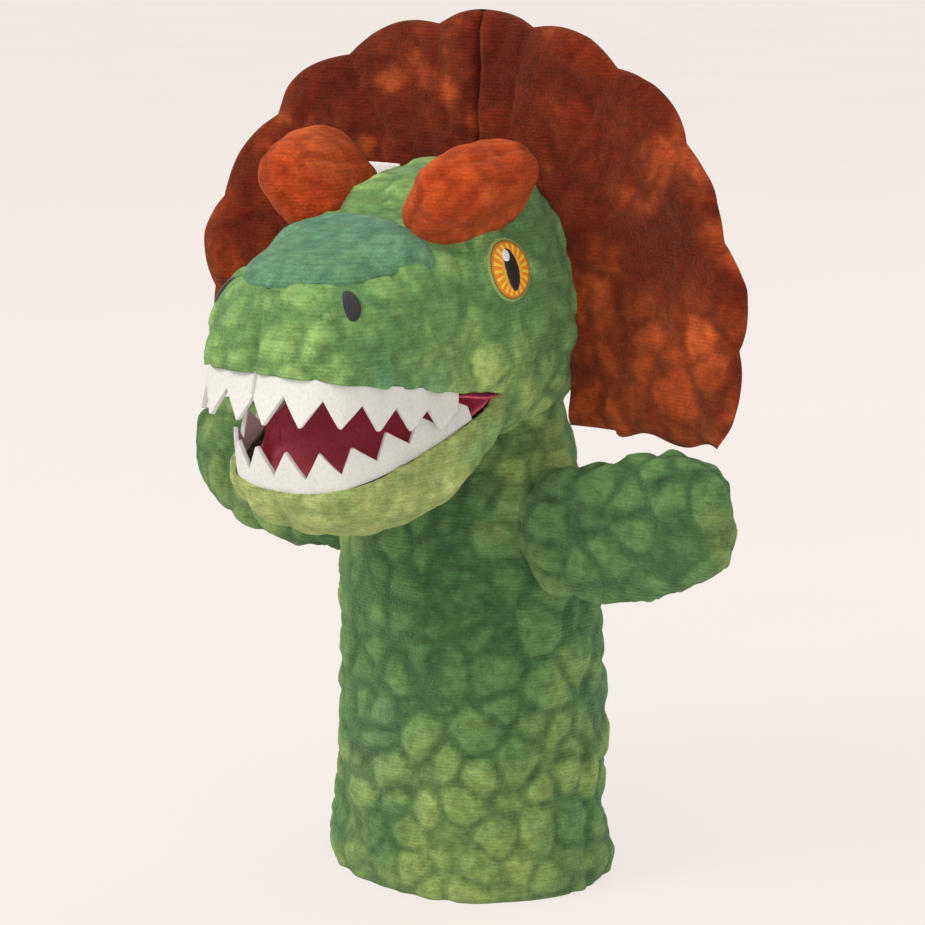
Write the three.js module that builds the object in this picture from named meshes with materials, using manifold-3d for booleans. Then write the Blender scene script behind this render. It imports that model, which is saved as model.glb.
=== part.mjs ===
// A glove puppet of a crested, frilled dinosaur whose mouth moves, in millimetres.
// +Z is up, the puppet faces -Y and its left side is +X. The origin is the middle of the
// hand opening, in the plane of the sleeve's hem. Each mesh is one sewn or stuffed piece.
import * as THREE from "three";
import { mergeVertices } from "three/addons/utils/BufferGeometryUtils.js";
import Module from "manifold-3d";

// ---- Driving dimensions -------------------------------------------------------------

const GAP = 0.3; // between pieces that are sewn or laid together
const RUNNING_GAP = 1.0; // between pieces that move past each other
const PLUSH = 2.5; // plush with its pile
const LINING = 1.2; // lining cloth
const BOARD = 1.5; // mouth stiffener
const FELT = 1.6; // tooth felt

// The sleeve: [height, half width, half depth] of its outside.
const SLEEVE_SECTIONS = [
  [0, 54, 46.5],
  [12, 53.5, 46],
  [30, 51.5, 44.5],
  [70, 50, 43],
  [108, 49, 40],
  [124, 47, 36.5],
  [134, 44, 33],
];
const SLEEVE_TOP = 134;
const HEM_HEIGHT = 20;
const HEM_THICKNESS = 2.2;
const LINING_START = 24;

// The wrist, where the head nods and turns, and the neck that the nod clears.
const WRIST_HEIGHT = 150;
const NECK_HALF_WIDTH = 40;
const NECK_HALF_DEPTH = 30;
const NECK_TOP = 166;
const NOD_RADIUS = 32;

// The mouth's fold, and how the two jaws lie at rest.
const FOLD_FORWARD = 33;
const FOLD_HEIGHT = 180;
const HEAD_PITCH = 10; // degrees, nose up
const JAW_OPEN = 30.5; // degrees between the two lips
const THROAT_ANGLE = 42; // degrees, from the jaw's floor to its cut-away underside

// The upper head: [forward of the fold, half width, underside, top] of its outside.
const HEAD_SECTIONS = [
  [-70, 0, 28, 28],
  [-68.5, 15, 12, 44],
  [-62, 26, -3, 57],
  [-49, 36, -15, 68],
  [-34, 42, -20, 74],
  [-16, 44, -22, 76.5],
  [0, 44.5, -24, 73.5],
  [18, 43.5, -24, 66],
  [34, 41, -22, 55],
  [50, 38, -20, 43.5],
  [64, 34, -18, 36.5],
  [74, 26.5, -14, 31],
  [79, 16, -3, 26],
  [80.5, 0, 13, 13],
];
const HEAD_ROUNDNESS = 2.5; // exponent of the sections' superellipse
const FRILL_SEAM = -26; // forward of the fold
const CROWN_HALF_WIDTH = 21;
const RIDGE_START = 35; // where the nose ridge begins, forward of the fold
const RIDGE_PROUD = 3;
const RIDGE_DROP = 16; // degrees, slope of the ridge's lower edge
const RIDGE_EDGE = 40; // height of that edge where the ridge begins

// The lower jaw, in its own frame, from the same fold.
const JAW_SECTIONS = [
  [-4, 0, 0, 0],
  [-2, 24, -22, 14],
  [6, 37, -30, 17],
  [22, 38.5, -32, 17],
  [42, 36, -30, 16],
  [58, 31, -25, 14],
  [69, 23, -18, 11],
  [74, 12, -11, 6],
  [75.5, 0, -2, -2],
];

// The mouth lining slopes away from the lips to leave room for the teeth.
const PALATE_RISE = 8; // degrees
const FLOOR_DROP = 3; // degrees
const POCKET_WALL = 1.2;
const FINGER_POCKET = { start: -14, end: 60, halfWidth: 35, taper: 9, height: 22 };
const THUMB_POCKET = { start: 6, end: 56, halfWidth: 19, taper: 4, height: 15 };

// Teeth: one felt strip to each jaw.
const TEETH_PER_SIDE = 6;
const TOOTH_PITCH = 13.4;
const UPPER_BAND = 6.5;
const UPPER_TOOTH = 10;
const LOWER_BAND = 4.5;
const LOWER_TOOTH = 9;
const BACK_TOOTH_SHARE = 0.62; // height of the last tooth against the first
const LOWER_TEETH_INSET = 4.2;

// Eyes, nostrils, crests.
const EYE = { forward: 8, height: 41, halfWidth: 10, halfHeight: 11.5, tilt: 15, proud: 0.9 };
const PUPIL = { halfWidth: 3.2, halfHeight: 7.2, proud: 0.8 };
const GLINT = { radius: 1.6, forward: 2, up: 5, proud: 0.6 };
const NOSTRIL = { forward: 68, height: 24.5, halfWidth: 3, halfHeight: 4.6, proud: 0.8 };
const CREST = {
  forward: 18, // middle of the line where it is sewn on
  side: 28.5,
  height: 60,
  length: 52,
  rise: 41,
  sunk: 12, // how far the lobe would reach below that line
  thickness: 21,
  lean: 45, // degrees outwards
  toe: 12, // degrees, back end turned outwards
  pitch: 20, // degrees, front end down
  seat: 32, // degrees, slope of the head under it
  swing: 19, // degrees, room to move each way
};

// Arms.
const ARM = {
  seam: 51, // from the middle to the arm's root
  forward: 13,
  height: 129,
  length: 69,
  rootHalfHeight: 24.5,
  tipHalfHeight: 19,
  thickness: 21,
  relief: 17, // degrees, root cut back below the hinge
};
const LEFT_ARM_RAISE = 9; // degrees at rest
const RIGHT_ARM_RAISE = 5;

// The frill: a scalloped fan in three leaves, folded at the sides of the head.
const FRILL = {
  back: 3, // behind the origin
  layer: 2.5,
  batting: 2,
  halfWidth: 122,
  centreHeight: 200,
  rise: 104,
  bottom: 167,
  scallops: 11,
  scallopDepth: 3.5,
  foldSide: 49, // where the leaves fold
  sweep: 14, // degrees forwards at rest
  relief: 13, // degrees, leaf cut back behind the fold
};

const LABEL = { halfWidth: 7, top: 74.5, height: 11, thickness: 0.6, side: -34, forward: -15 };

// ---- Solids -------------------------------------------------------------------------

const wasm = await Module();
wasm.setup();
const { Manifold, Mesh } = wasm;
const DEG = Math.PI / 180;
const FAR = 400; // half the size of a cutting block

// A closed three.js geometry as a solid, with the transform given by a matrix.
function solid(geometry, matrix = new THREE.Matrix4()) {
  const bare = geometry.clone().applyMatrix4(matrix);
  for (const name of ["normal", "uv"]) bare.deleteAttribute(name);
  const merged = mergeVertices(bare, 1e-4);
  return new Manifold(
    new Mesh({
      numProp: 3,
      vertProperties: Float32Array.from(merged.attributes.position.array),
      triVerts: Uint32Array.from(merged.index.array),
    }),
  );
}

// A solid as a three.js geometry with flat faces.
function geometryOf(body) {
  const mesh = body.getMesh();
  const points = new Float32Array(mesh.numVert * 3);
  for (let i = 0; i < mesh.numVert; i++) {
    for (let k = 0; k < 3; k++) points[3 * i + k] = mesh.vertProperties[mesh.numProp * i + k];
  }
  const indexed = new THREE.BufferGeometry();
  indexed.setAttribute("position", new THREE.BufferAttribute(points, 3));
  indexed.setIndex(new THREE.BufferAttribute(mesh.triVerts, 1));
  const flat = indexed.toNonIndexed();
  flat.computeVertexNormals();
  return flat;
}

// The half space on the side of a point that a direction points to.
function halfSpace(point, direction) {
  const turn = new THREE.Quaternion().setFromUnitVectors(
    new THREE.Vector3(0, 0, 1),
    direction.clone().normalize(),
  );
  const lift = direction.clone().normalize().multiplyScalar(FAR).add(point);
  const matrix = new THREE.Matrix4().compose(lift, turn, new THREE.Vector3(1, 1, 1));
  return solid(new THREE.BoxGeometry(2 * FAR, 2 * FAR, 2 * FAR), matrix);
}

const above = (z) => halfSpace(new THREE.Vector3(0, 0, z), new THREE.Vector3(0, 0, 1));
const below = (z) => halfSpace(new THREE.Vector3(0, 0, z), new THREE.Vector3(0, 0, -1));
const leftOf = (x) => halfSpace(new THREE.Vector3(x, 0, 0), new THREE.Vector3(1, 0, 0));
const rightOf = (x) => halfSpace(new THREE.Vector3(x, 0, 0), new THREE.Vector3(-1, 0, 0));
const infront = (f) => halfSpace(new THREE.Vector3(0, -f, 0), new THREE.Vector3(0, -1, 0));
const behind = (f) => halfSpace(new THREE.Vector3(0, -f, 0), new THREE.Vector3(0, 1, 0));

// The larger of a solid's separate bodies.
function largest(body) {
  return body.decompose().reduce((a, b) => (a.volume() >= b.volume() ? a : b));
}

// ---- Forms --------------------------------------------------------------------------

const signedPower = (x, p) => Math.sign(x) * Math.abs(x) ** p;

// Values between the rows of a table, on a smooth curve through them.
function along(rows, t) {
  const first = rows.map(([a, b, c]) => new THREE.Vector3(a, b, c));
  const last = rows.map(([a, , , d]) => new THREE.Vector3(a, d ?? 0, 0));
  const one = new THREE.CatmullRomCurve3(first, false, "catmullrom", 0.5).getPoint(t);
  const two = new THREE.CatmullRomCurve3(last, false, "catmullrom", 0.5).getPoint(t);
  return [one.x, one.y, one.z, two.y];
}

// A closed body lofted through [forward, half width, underside, top] sections, grown or
// shrunk all round by an offset.
function loft(rows, offset, around, lengths, roundness) {
  const sphere = new THREE.SphereGeometry(1, around, lengths);
  const uv = sphere.attributes.uv;
  const position = sphere.attributes.position;
  const length = rows.at(-1)[0] - rows[0][0];
  const middle = (rows.at(-1)[0] + rows[0][0]) / 2;
  const power = 2 / roundness;
  for (let i = 0; i < position.count; i++) {
    const t = 1 - uv.getY(i);
    const pole = t < 1e-6 || t > 1 - 1e-6;
    const turn = 2 * Math.PI * uv.getX(i);
    const [f, halfWidth, low, high] = along(rows, t);
    const forward = middle + (f - middle) * (1 + (2 * offset) / length);
    const wide = pole ? 0 : Math.max(halfWidth + offset, 0.5);
    const tall = pole ? 0 : Math.max((high - low) / 2 + offset, 0.5);
    const x = wide * signedPower(Math.cos(turn), power);
    const z = (high + low) / 2 + tall * signedPower(Math.sin(turn), power);
    position.setXYZ(i, x, -forward, z);
  }
  return outward(sphere);
}

// A geometry as a solid with its faces pointing out.
function outward(geometry) {
  const made = solid(geometry);
  if (made.volume() > 0) return made;
  const index = geometry.index.array;
  for (let i = 0; i < index.length; i += 3) {
    [index[i + 1], index[i + 2]] = [index[i + 2], index[i + 1]];
  }
  return solid(geometry);
}

// An upright tube whose outside follows [height, half width, half depth] sections.
function tube(rows, offset, wall, bottom, top, segments = 24) {
  const heights = [bottom, ...rows.map((r) => r[0]).filter((z) => z > bottom && z < top), top];
  const at = (z) => {
    const next = Math.max(1, rows.findIndex((r) => r[0] >= z));
    const [a, b] = [rows[next - 1], rows[next]];
    const share = THREE.MathUtils.clamp((z - a[0]) / (b[0] - a[0]), 0, 1);
    return [1, 2].map((k) => THREE.MathUtils.lerp(a[k], b[k], share) + offset);
  };
  const profile = [
    ...heights.map((z) => new THREE.Vector2(1, z)),
    ...heights.toReversed().map((z) => new THREE.Vector2(0.5, z)),
  ];
  profile.push(profile[0].clone());
  const lathe = new THREE.LatheGeometry(profile, segments);
  const position = lathe.attributes.position;
  for (let i = 0; i < position.count; i++) {
    const [x, z, y] = [position.getX(i), position.getY(i), position.getZ(i)];
    const reach = Math.hypot(x, y);
    const inset = reach < 0.75 ? wall : 0;
    const [wide, deep] = at(z);
    position.setXYZ(i, (x / reach) * (wide - inset), (y / reach) * (deep - inset), z);
  }
  return outward(lathe);
}

// A cushion whose outline is a function of the turn, in the XZ plane, thickest in the
// middle. The rim is pinched to a seam.
function cushion(outline, thickness, offset, around, rings) {
  const sphere = new THREE.SphereGeometry(1, around, rings);
  const uv = sphere.attributes.uv;
  const position = sphere.attributes.position;
  for (let i = 0; i < position.count; i++) {
    const polar = Math.PI * (1 - uv.getY(i));
    const turn = 2 * Math.PI * (uv.getX(i) + 0.5 / around);
    const pole = Math.sin(polar) < 1e-6;
    const [x, z, reachX, reachZ] = outline(turn, offset);
    const share = pole ? 0 : Math.sin(polar);
    const half = thickness / 2 + offset;
    position.setXYZ(i, x + reachX * share, half * Math.cos(polar), z + reachZ * share);
  }
  return outward(sphere);
}

// ---- Assembly -----------------------------------------------------------------------

const puppet = new THREE.Group();
const material = (color, roughness) =>
  new THREE.MeshStandardMaterial({ color, roughness, metalness: 0 });
const MATERIALS = {
  green: material(0x4f8f46, 0.95),
  lime: material(0x86a84e, 0.95),
  teal: material(0x5aa387, 0.95),
  rust: material(0xa3401a, 0.95),
  wine: material(0x8c2740, 0.85),
  felt: material(0xeeecea, 0.95),
  lining: material(0x2f5a38, 0.8),
  fill: material(0xf2f0ea, 1),
  board: material(0x3a3a3c, 0.6),
  iris: material(0xf08a12, 0.7),
  black: material(0x121214, 0.6),
  white: material(0xf7f7f5, 0.6),
};

function place(name, body, finish, frame = puppet) {
  const mesh = new THREE.Mesh(geometryOf(body), MATERIALS[finish]);
  mesh.name = name;
  frame.add(mesh);
}

// The head's frame sits at the mouth's fold and the jaw's frame hangs from it.
const headFrame = new THREE.Group();
headFrame.position.set(0, -FOLD_FORWARD, FOLD_HEIGHT);
headFrame.rotation.x = -HEAD_PITCH * DEG;
const jawFrame = new THREE.Group();
jawFrame.rotation.x = JAW_OPEN * DEG;
headFrame.add(jawFrame);
puppet.add(headFrame);
puppet.updateMatrixWorld(true);

const toHead = headFrame.matrixWorld;
const fromHead = toHead.clone().invert();
const moved = (body, matrix) => body.transform(matrix.elements);

// ---- Sleeve and neck ----------------------------------------------------------------

function addSleeve() {
  const skin = tube(SLEEVE_SECTIONS, 0, PLUSH, 0, SLEEVE_TOP);
  place("sleeve_front_panel", skin.intersect(infront(GAP / 2)), "green");
  place("sleeve_back_panel", skin.intersect(behind(-GAP / 2)), "green");
  const inside = -PLUSH - GAP;
  place(
    "sleeve_hem_band",
    tube(SLEEVE_SECTIONS, inside, HEM_THICKNESS, 0, HEM_HEIGHT),
    "green",
  );
  place(
    "sleeve_lining",
    tube(SLEEVE_SECTIONS, inside, LINING, LINING_START, SLEEVE_TOP),
    "lining",
  );
}

function addNeck() {
  const rows = [
    [SLEEVE_TOP, NECK_HALF_WIDTH + 1, NECK_HALF_DEPTH],
    [WRIST_HEIGHT, NECK_HALF_WIDTH, NECK_HALF_DEPTH],
    [NECK_TOP, NECK_HALF_WIDTH - 2, NECK_HALF_DEPTH - 4],
  ];
  const bottom = SLEEVE_TOP + RUNNING_GAP;
  const nod = new THREE.Matrix4()
    .makeTranslation(0, 0, WRIST_HEIGHT)
    .multiply(new THREE.Matrix4().makeRotationZ(Math.PI / 2));
  const clear = solid(new THREE.CylinderGeometry(NOD_RADIUS, NOD_RADIUS, 2 * FAR, 32), nod);
  const skin = tube(rows, 0, PLUSH, bottom, NECK_TOP).intersect(clear);
  place("neck_front_panel", skin.intersect(infront(GAP / 2)), "green");
  place("neck_back_panel", skin.intersect(behind(-GAP / 2)), "green");
  const lining = tube(rows, -PLUSH - GAP, LINING, bottom, NECK_TOP).intersect(clear);
  place("neck_lining", lining, "lining");
}

// The space that the neck needs as the head nods, in the head's frame.
function nodSpace() {
  const matrix = fromHead
    .clone()
    .multiply(new THREE.Matrix4().makeTranslation(0, 0, WRIST_HEIGHT))
    .multiply(new THREE.Matrix4().makeRotationZ(Math.PI / 2));
  const reach = NOD_RADIUS + RUNNING_GAP;
  const width = 2 * (NECK_HALF_WIDTH + RUNNING_GAP + 1);
  return solid(new THREE.CylinderGeometry(reach, reach, width, 32), matrix);
}

// ---- Upper head ---------------------------------------------------------------------

const headForm = (offset) => loft(HEAD_SECTIONS, offset, 24, 18, HEAD_ROUNDNESS);

// The part of the head above the lips, and the cheeks behind the mouth's fold.
function headSpace() {
  const lips = above(0).intersect(infront(0));
  return lips.add(behind(0)).subtract(nodSpace());
}

// The region of the nose ridge, grown by a gap.
function ridgeRegion(gap) {
  const slope = RIDGE_DROP * DEG;
  const edge = new THREE.Vector3(0, -RIDGE_START, RIDGE_EDGE - gap);
  const over = halfSpace(edge, new THREE.Vector3(0, -Math.sin(slope), Math.cos(slope)));
  return over.intersect(infront(RIDGE_START - gap));
}

function addHeadSkin() {
  const space = headSpace();
  const skin = headForm(0).subtract(headForm(-PLUSH)).intersect(space);
  const back = skin.intersect(behind(FRILL_SEAM - GAP / 2));
  place("head_back_panel", largest(back), "green", headFrame);
  const face = skin
    .intersect(infront(FRILL_SEAM + GAP / 2))
    .subtract(ridgeRegion(GAP));
  const middle = leftOf(-CROWN_HALF_WIDTH).intersect(rightOf(CROWN_HALF_WIDTH));
  const overhead = above(RIDGE_EDGE).intersect(behind(RIDGE_START - GAP));
  place("crown_panel", largest(face.intersect(middle).intersect(overhead)), "green", headFrame);
  const crownCut = leftOf(-CROWN_HALF_WIDTH - GAP)
    .intersect(rightOf(CROWN_HALF_WIDTH + GAP))
    .intersect(above(RIDGE_EDGE - GAP))
    .intersect(behind(RIDGE_START));
  const sides = face.subtract(crownCut);
  place("head_left_panel", largest(sides.intersect(leftOf(GAP / 2))), "green", headFrame);
  place("head_right_panel", largest(sides.intersect(rightOf(-GAP / 2))), "green", headFrame);
  const ridge = headForm(RIDGE_PROUD).subtract(headForm(-PLUSH)).intersect(ridgeRegion(0));
  place("snout_ridge", largest(ridge), "teal", headFrame);
}

// A slab under the palate's slope, from one height above the slope to another.
function palateSlab(low, high) {
  const slope = PALATE_RISE * DEG;
  const up = new THREE.Vector3(0, Math.sin(slope), Math.cos(slope));
  const at = (h) => up.clone().multiplyScalar(h);
  const slab = halfSpace(at(low), up).intersect(halfSpace(at(high), up.clone().negate()));
  return slab.intersect(infront(RUNNING_GAP + 1));
}

const PALATE_CLEARANCE = 1.5;
const BOARD_LEVEL = PALATE_CLEARANCE + LINING + GAP;
const POCKET_LEVEL = BOARD_LEVEL + BOARD + GAP;

// A flattened tube, closed in front and open behind, for fingers.
function pocket({ start, end, halfWidth, taper, height }, shrink) {
  const rows = [
    [start - 8, halfWidth - shrink, shrink, height - shrink],
    [start + (end - start) / 2, halfWidth - taper / 2 - shrink, shrink, height - shrink],
    [end - 10, halfWidth - taper - shrink, shrink, height - 2 - shrink],
    [end - 3 - shrink, halfWidth - taper - 6 - shrink, shrink + 2, height - 5 - shrink],
    [end - shrink, 0, height / 2 - 1, height / 2 - 1],
  ];
  rows.unshift([start - 9, 0, height / 2, height / 2]);
  return loft(rows, 0, 14, 8, 2.6);
}

function fingerPocket(shrink) {
  const turn = new THREE.Matrix4()
    .makeRotationX(-PALATE_RISE * DEG)
    .multiply(new THREE.Matrix4().makeTranslation(0, 0, POCKET_LEVEL));
  return moved(pocket(FINGER_POCKET, shrink), turn);
}

function addMouthRoof() {
  const inside = headForm(-PLUSH - GAP).intersect(headSpace());
  place(
    "palate_lining",
    inside.intersect(palateSlab(PALATE_CLEARANCE, PALATE_CLEARANCE + LINING)),
    "wine",
    headFrame,
  );
  const board = headForm(-PLUSH - 3).intersect(palateSlab(BOARD_LEVEL, BOARD_LEVEL + BOARD));
  place("upper_jaw_board", board, "board", headFrame);
  const mouth = behind(FINGER_POCKET.start).add(nodSpace());
  const open = fingerPocket(0).subtract(fingerPocket(POCKET_WALL)).subtract(mouth);
  place("finger_pocket", largest(open), "lining", headFrame);
  const slope = PALATE_RISE * DEG;
  const up = new THREE.Vector3(0, Math.sin(slope), Math.cos(slope));
  const overBoard = halfSpace(up.clone().multiplyScalar(POCKET_LEVEL), up);
  const hand = fingerPocket(-GAP).add(handWay());
  const fill = headForm(-PLUSH - GAP).intersect(overBoard).subtract(hand);
  place("head_stuffing", largest(fill.subtract(nodSpace())), "fill", headFrame);
}

// The way that the hand takes from the neck into the finger pocket.
function handWay() {
  const start = FINGER_POCKET.start + 6;
  const rows = [
    [start - 53, 0, 3, 3],
    [start - 51, 20, -24, 22],
    [start - 40, 33, -30, 30],
    [start - 14, 35, -34, 32],
    [start, 34, -30, 28],
    [start + 3, 0, 6, 6],
  ];
  return loft(rows, 0, 14, 8, 2.6);
}

// ---- Lower jaw ----------------------------------------------------------------------

const jawForm = (offset) => loft(JAW_SECTIONS, offset, 20, 14, HEAD_ROUNDNESS);

function jawSpace() {
  const slope = THROAT_ANGLE * DEG;
  const throat = halfSpace(
    new THREE.Vector3(0, -2, 0),
    new THREE.Vector3(0, -Math.sin(slope), Math.cos(slope)),
  );
  return throat.intersect(below(0)).intersect(infront(3));
}

function floorSlab(low, high) {
  const slope = -FLOOR_DROP * DEG;
  const up = new THREE.Vector3(0, Math.sin(slope), Math.cos(slope));
  const at = (h) => up.clone().multiplyScalar(h);
  return halfSpace(at(low), up).intersect(halfSpace(at(high), up.clone().negate()));
}

const FLOOR_LEVEL = -1.2;
const JAW_BOARD_LEVEL = FLOOR_LEVEL - LINING - GAP;
const THUMB_LEVEL = JAW_BOARD_LEVEL - BOARD - GAP;

function thumbPocket(shrink) {
  const turn = new THREE.Matrix4()
    .makeRotationX(FLOOR_DROP * DEG)
    .multiply(new THREE.Matrix4().makeTranslation(0, 0, THUMB_LEVEL - THUMB_POCKET.height));
  return moved(pocket(THUMB_POCKET, shrink), turn);
}

function addJaw() {
  const space = jawSpace();
  const skin = jawForm(0).subtract(jawForm(-PLUSH)).intersect(space);
  place("chin_panel", largest(skin), "lime", jawFrame);
  const inside = jawForm(-PLUSH - GAP).intersect(space);
  const floor = inside.intersect(floorSlab(FLOOR_LEVEL - LINING, FLOOR_LEVEL));
  place("mouth_floor_lining", largest(floor), "wine", jawFrame);
  const board = jawForm(-PLUSH - 3)
    .intersect(space)
    .intersect(floorSlab(JAW_BOARD_LEVEL - BOARD, JAW_BOARD_LEVEL));
  place("lower_jaw_board", largest(board), "board", jawFrame);
  const under = floorSlab(-FAR, THUMB_LEVEL);
  const room = inside.intersect(under);
  const wall = thumbPocket(0).subtract(thumbPocket(POCKET_WALL)).intersect(room);
  place("thumb_pocket", largest(wall), "lining", jawFrame);
  const fill = jawForm(-PLUSH - GAP).intersect(space).intersect(under);
  place("jaw_stuffing", largest(fill.subtract(thumbPocket(-GAP))), "fill", jawFrame);
}

// ---- Teeth --------------------------------------------------------------------------

const LIP_END = -4;

// The lip line in plan, from the middle of the snout round to one side.
function lipCurve(rows, level, inset) {
  const points = [];
  for (let i = 0; i <= 60; i++) {
    const [f, halfWidth, low, high] = along(rows, 1 - i / 60);
    if (f < LIP_END) break;
    const half = (high - low) / 2;
    const rise = Math.min(1, Math.abs(level - (high + low) / 2) / Math.max(half, 1e-3));
    const across = halfWidth * (1 - rise ** HEAD_ROUNDNESS) ** (1 / HEAD_ROUNDNESS);
    points.push(new THREE.Vector2(Math.max(across, 0), f));
  }
  const kept = points.filter((p, i) => i === points.length - 1 || p.x > 0.5);
  kept.unshift(new THREE.Vector2(0, kept[0].y + 0.4));
  const curve = new THREE.SplineCurve(kept);
  return (s) => {
    const share = THREE.MathUtils.clamp(Math.abs(s) / curve.getLength(), 0, 1);
    const p = curve.getPointAt(share);
    const t = curve.getTangentAt(share);
    const out = new THREE.Vector2(-t.y, t.x);
    if (out.x * p.x + out.y * 0.3 < 0 && s !== 0) out.negate();
    const side = s < 0 ? -1 : 1;
    return { x: side * (p.x - inset * out.x), f: p.y - inset * out.y, outX: side * out.x, outF: out.y };
  };
}

// A strip of felt with triangular teeth, bent round the lip line.
function toothStrip(rows, level, inset, band, tooth, direction) {
  const edge = TEETH_PER_SIDE * TOOTH_PITCH;
  const columns = 8 * TEETH_PER_SIDE;
  const strip = new THREE.BoxGeometry(2 * edge, 1, 1, columns, 1, 1);
  const lip = lipCurve(rows, level, inset);
  const position = strip.attributes.position;
  for (let i = 0; i < position.count; i++) {
    const s = position.getX(i);
    const step = Math.round((4 * Math.abs(s)) / TOOTH_PITCH) % 4;
    const fall = 1 - (1 - BACK_TOOTH_SHARE) * Math.abs(s / edge);
    const point = 1 - Math.abs(1 - step / 2);
    const depth = position.getY(i) > 0 ? 0 : band + tooth * fall * point;
    const p = lip(s);
    const t = (position.getZ(i) + 0.5) * FELT;
    position.setXYZ(i, p.x + p.outX * t, -(p.f + p.outF * t), level + direction * depth);
  }
  return outward(strip);
}

function addTeeth() {
  const upper = toothStrip(HEAD_SECTIONS, 0, FELT, UPPER_BAND, UPPER_TOOTH, -1);
  place("upper_teeth", upper.intersect(below(-GAP)), "felt", headFrame);
  const lower = toothStrip(
    JAW_SECTIONS,
    0,
    LOWER_TEETH_INSET,
    LOWER_BAND,
    LOWER_TOOTH,
    1,
  );
  place("lower_teeth", lower.intersect(above(GAP)), "felt", jawFrame);
}

// ---- Face pieces --------------------------------------------------------------------

// An oval patch that lies on the head's skin, between two offsets of its form.
function patch({ forward, height, halfWidth, halfHeight, tilt = 0 }, low, high, side) {
  const oval = new THREE.CylinderGeometry(1, 1, 40, 14);
  const matrix = new THREE.Matrix4()
    .makeTranslation(side * 50, -forward, height)
    .multiply(new THREE.Matrix4().makeRotationX(tilt * DEG))
    .multiply(new THREE.Matrix4().makeScale(1, halfWidth, halfHeight))
    .multiply(new THREE.Matrix4().makeRotationZ(Math.PI / 2));
  return solid(oval, matrix).intersect(headForm(high).subtract(headForm(low)));
}

function addFace() {
  const pupilBase = EYE.proud + GAP;
  const glintBase = pupilBase + PUPIL.proud + GAP / 2;
  for (const [name, side] of [["left", 1], ["right", -1]]) {
    const where = { forward: EYE.forward, height: EYE.height, tilt: EYE.tilt };
    place(`${name}_eye_iris`, largest(patch(EYE, GAP, EYE.proud, side)), "iris", headFrame);
    const pupil = { ...where, halfWidth: PUPIL.halfWidth, halfHeight: PUPIL.halfHeight };
    place(
      `${name}_eye_pupil`,
      largest(patch(pupil, pupilBase, pupilBase + PUPIL.proud, side)),
      "black",
      headFrame,
    );
    const glint = {
      forward: EYE.forward + GLINT.forward,
      height: EYE.height + GLINT.up,
      halfWidth: GLINT.radius,
      halfHeight: GLINT.radius,
    };
    place(
      `${name}_eye_glint`,
      largest(patch(glint, glintBase, glintBase + GLINT.proud, side)),
      "white",
      headFrame,
    );
    place(
      `${name}_nostril`,
      largest(patch(NOSTRIL, GAP, NOSTRIL.proud, side)),
      "black",
      headFrame,
    );
  }
}

// ---- Crests -------------------------------------------------------------------------

// A crest is an oval lobe, stretched along the head, that stands on its hinge line.
function crestBody(offset) {
  const outline = (turn) => {
    const wide = CREST.length / 2 + offset;
    const tall = CREST.rise / 2 + offset;
    return [0, CREST.rise / 2 - CREST.sunk, wide * Math.cos(turn), tall * Math.sin(turn)];
  };
  return cushion(outline, CREST.thickness, offset, 16, 9);
}

// A frame on a crest's hinge line, rolled outwards by an angle.
function crestFrame(side, roll) {
  return new THREE.Matrix4()
    .makeTranslation(side * CREST.side, -CREST.forward, CREST.height)
    .multiply(new THREE.Matrix4().makeRotationX(CREST.pitch * DEG))
    .multiply(new THREE.Matrix4().makeRotationZ(-side * CREST.toe * DEG))
    .multiply(new THREE.Matrix4().makeRotationY(side * roll * DEG));
}

function crestMatrix(side) {
  const quarter = new THREE.Matrix4().makeRotationZ((side * Math.PI) / 2);
  return crestFrame(side, CREST.lean).multiply(quarter);
}

// What lies over the head on both ends of a crest's swing.
function crestRoom(side) {
  const hinge = new THREE.Vector3().setFromMatrixPosition(crestFrame(side, 0));
  const over = (roll) => {
    const up = new THREE.Vector3(0, 0, 1).transformDirection(crestFrame(side, roll));
    return halfSpace(hinge, up);
  };
  return over(CREST.seat - CREST.swing).intersect(over(CREST.seat + CREST.swing));
}

function addCrest(name, side) {
  const matrix = crestMatrix(side);
  const outside = headForm(RUNNING_GAP);
  const room = crestRoom(side);
  const inMatrix = (body) => moved(body, matrix).intersect(room).subtract(outside);
  const skin = crestBody(0).subtract(crestBody(-PLUSH));
  const [outer, inner] = side > 0 ? [infront, behind] : [behind, infront];
  const outerSide = outer(side > 0 ? GAP / 2 : -GAP / 2);
  const innerSide = inner(side > 0 ? -GAP / 2 : GAP / 2);
  place(`${name}_crest_outer_panel`, largest(inMatrix(skin.intersect(outerSide))), "rust", headFrame);
  place(`${name}_crest_inner_panel`, largest(inMatrix(skin.intersect(innerSide))), "rust", headFrame);
  place(`${name}_crest_stuffing`, largest(inMatrix(crestBody(-PLUSH - GAP))), "fill", headFrame);
}

// ---- Arms ---------------------------------------------------------------------------

// A mitt, root at x = 0 and tip at x = length, in the XZ plane.
function armBody(offset) {
  const middle = ARM.length * 0.46;
  const outline = (turn) => {
    const c = Math.cos(turn);
    const s = Math.sin(turn);
    const share = (c + 1) / 2;
    const half = THREE.MathUtils.lerp(ARM.rootHalfHeight, ARM.tipHalfHeight, share) + offset;
    const reach = (c > 0 ? ARM.length - middle : middle + 7.3) + offset;
    return [middle, 0, reach * signedPower(c, 0.8), half * signedPower(s, 0.8)];
  };
  return cushion(outline, ARM.thickness, offset, 16, 9);
}

// What lies beyond an arm's root, with room to hang down.
function armRoom() {
  const under = new THREE.Vector3(Math.cos(ARM.relief * DEG), 0, Math.sin(ARM.relief * DEG));
  return leftOf(0).intersect(halfSpace(new THREE.Vector3(), under));
}

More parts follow.
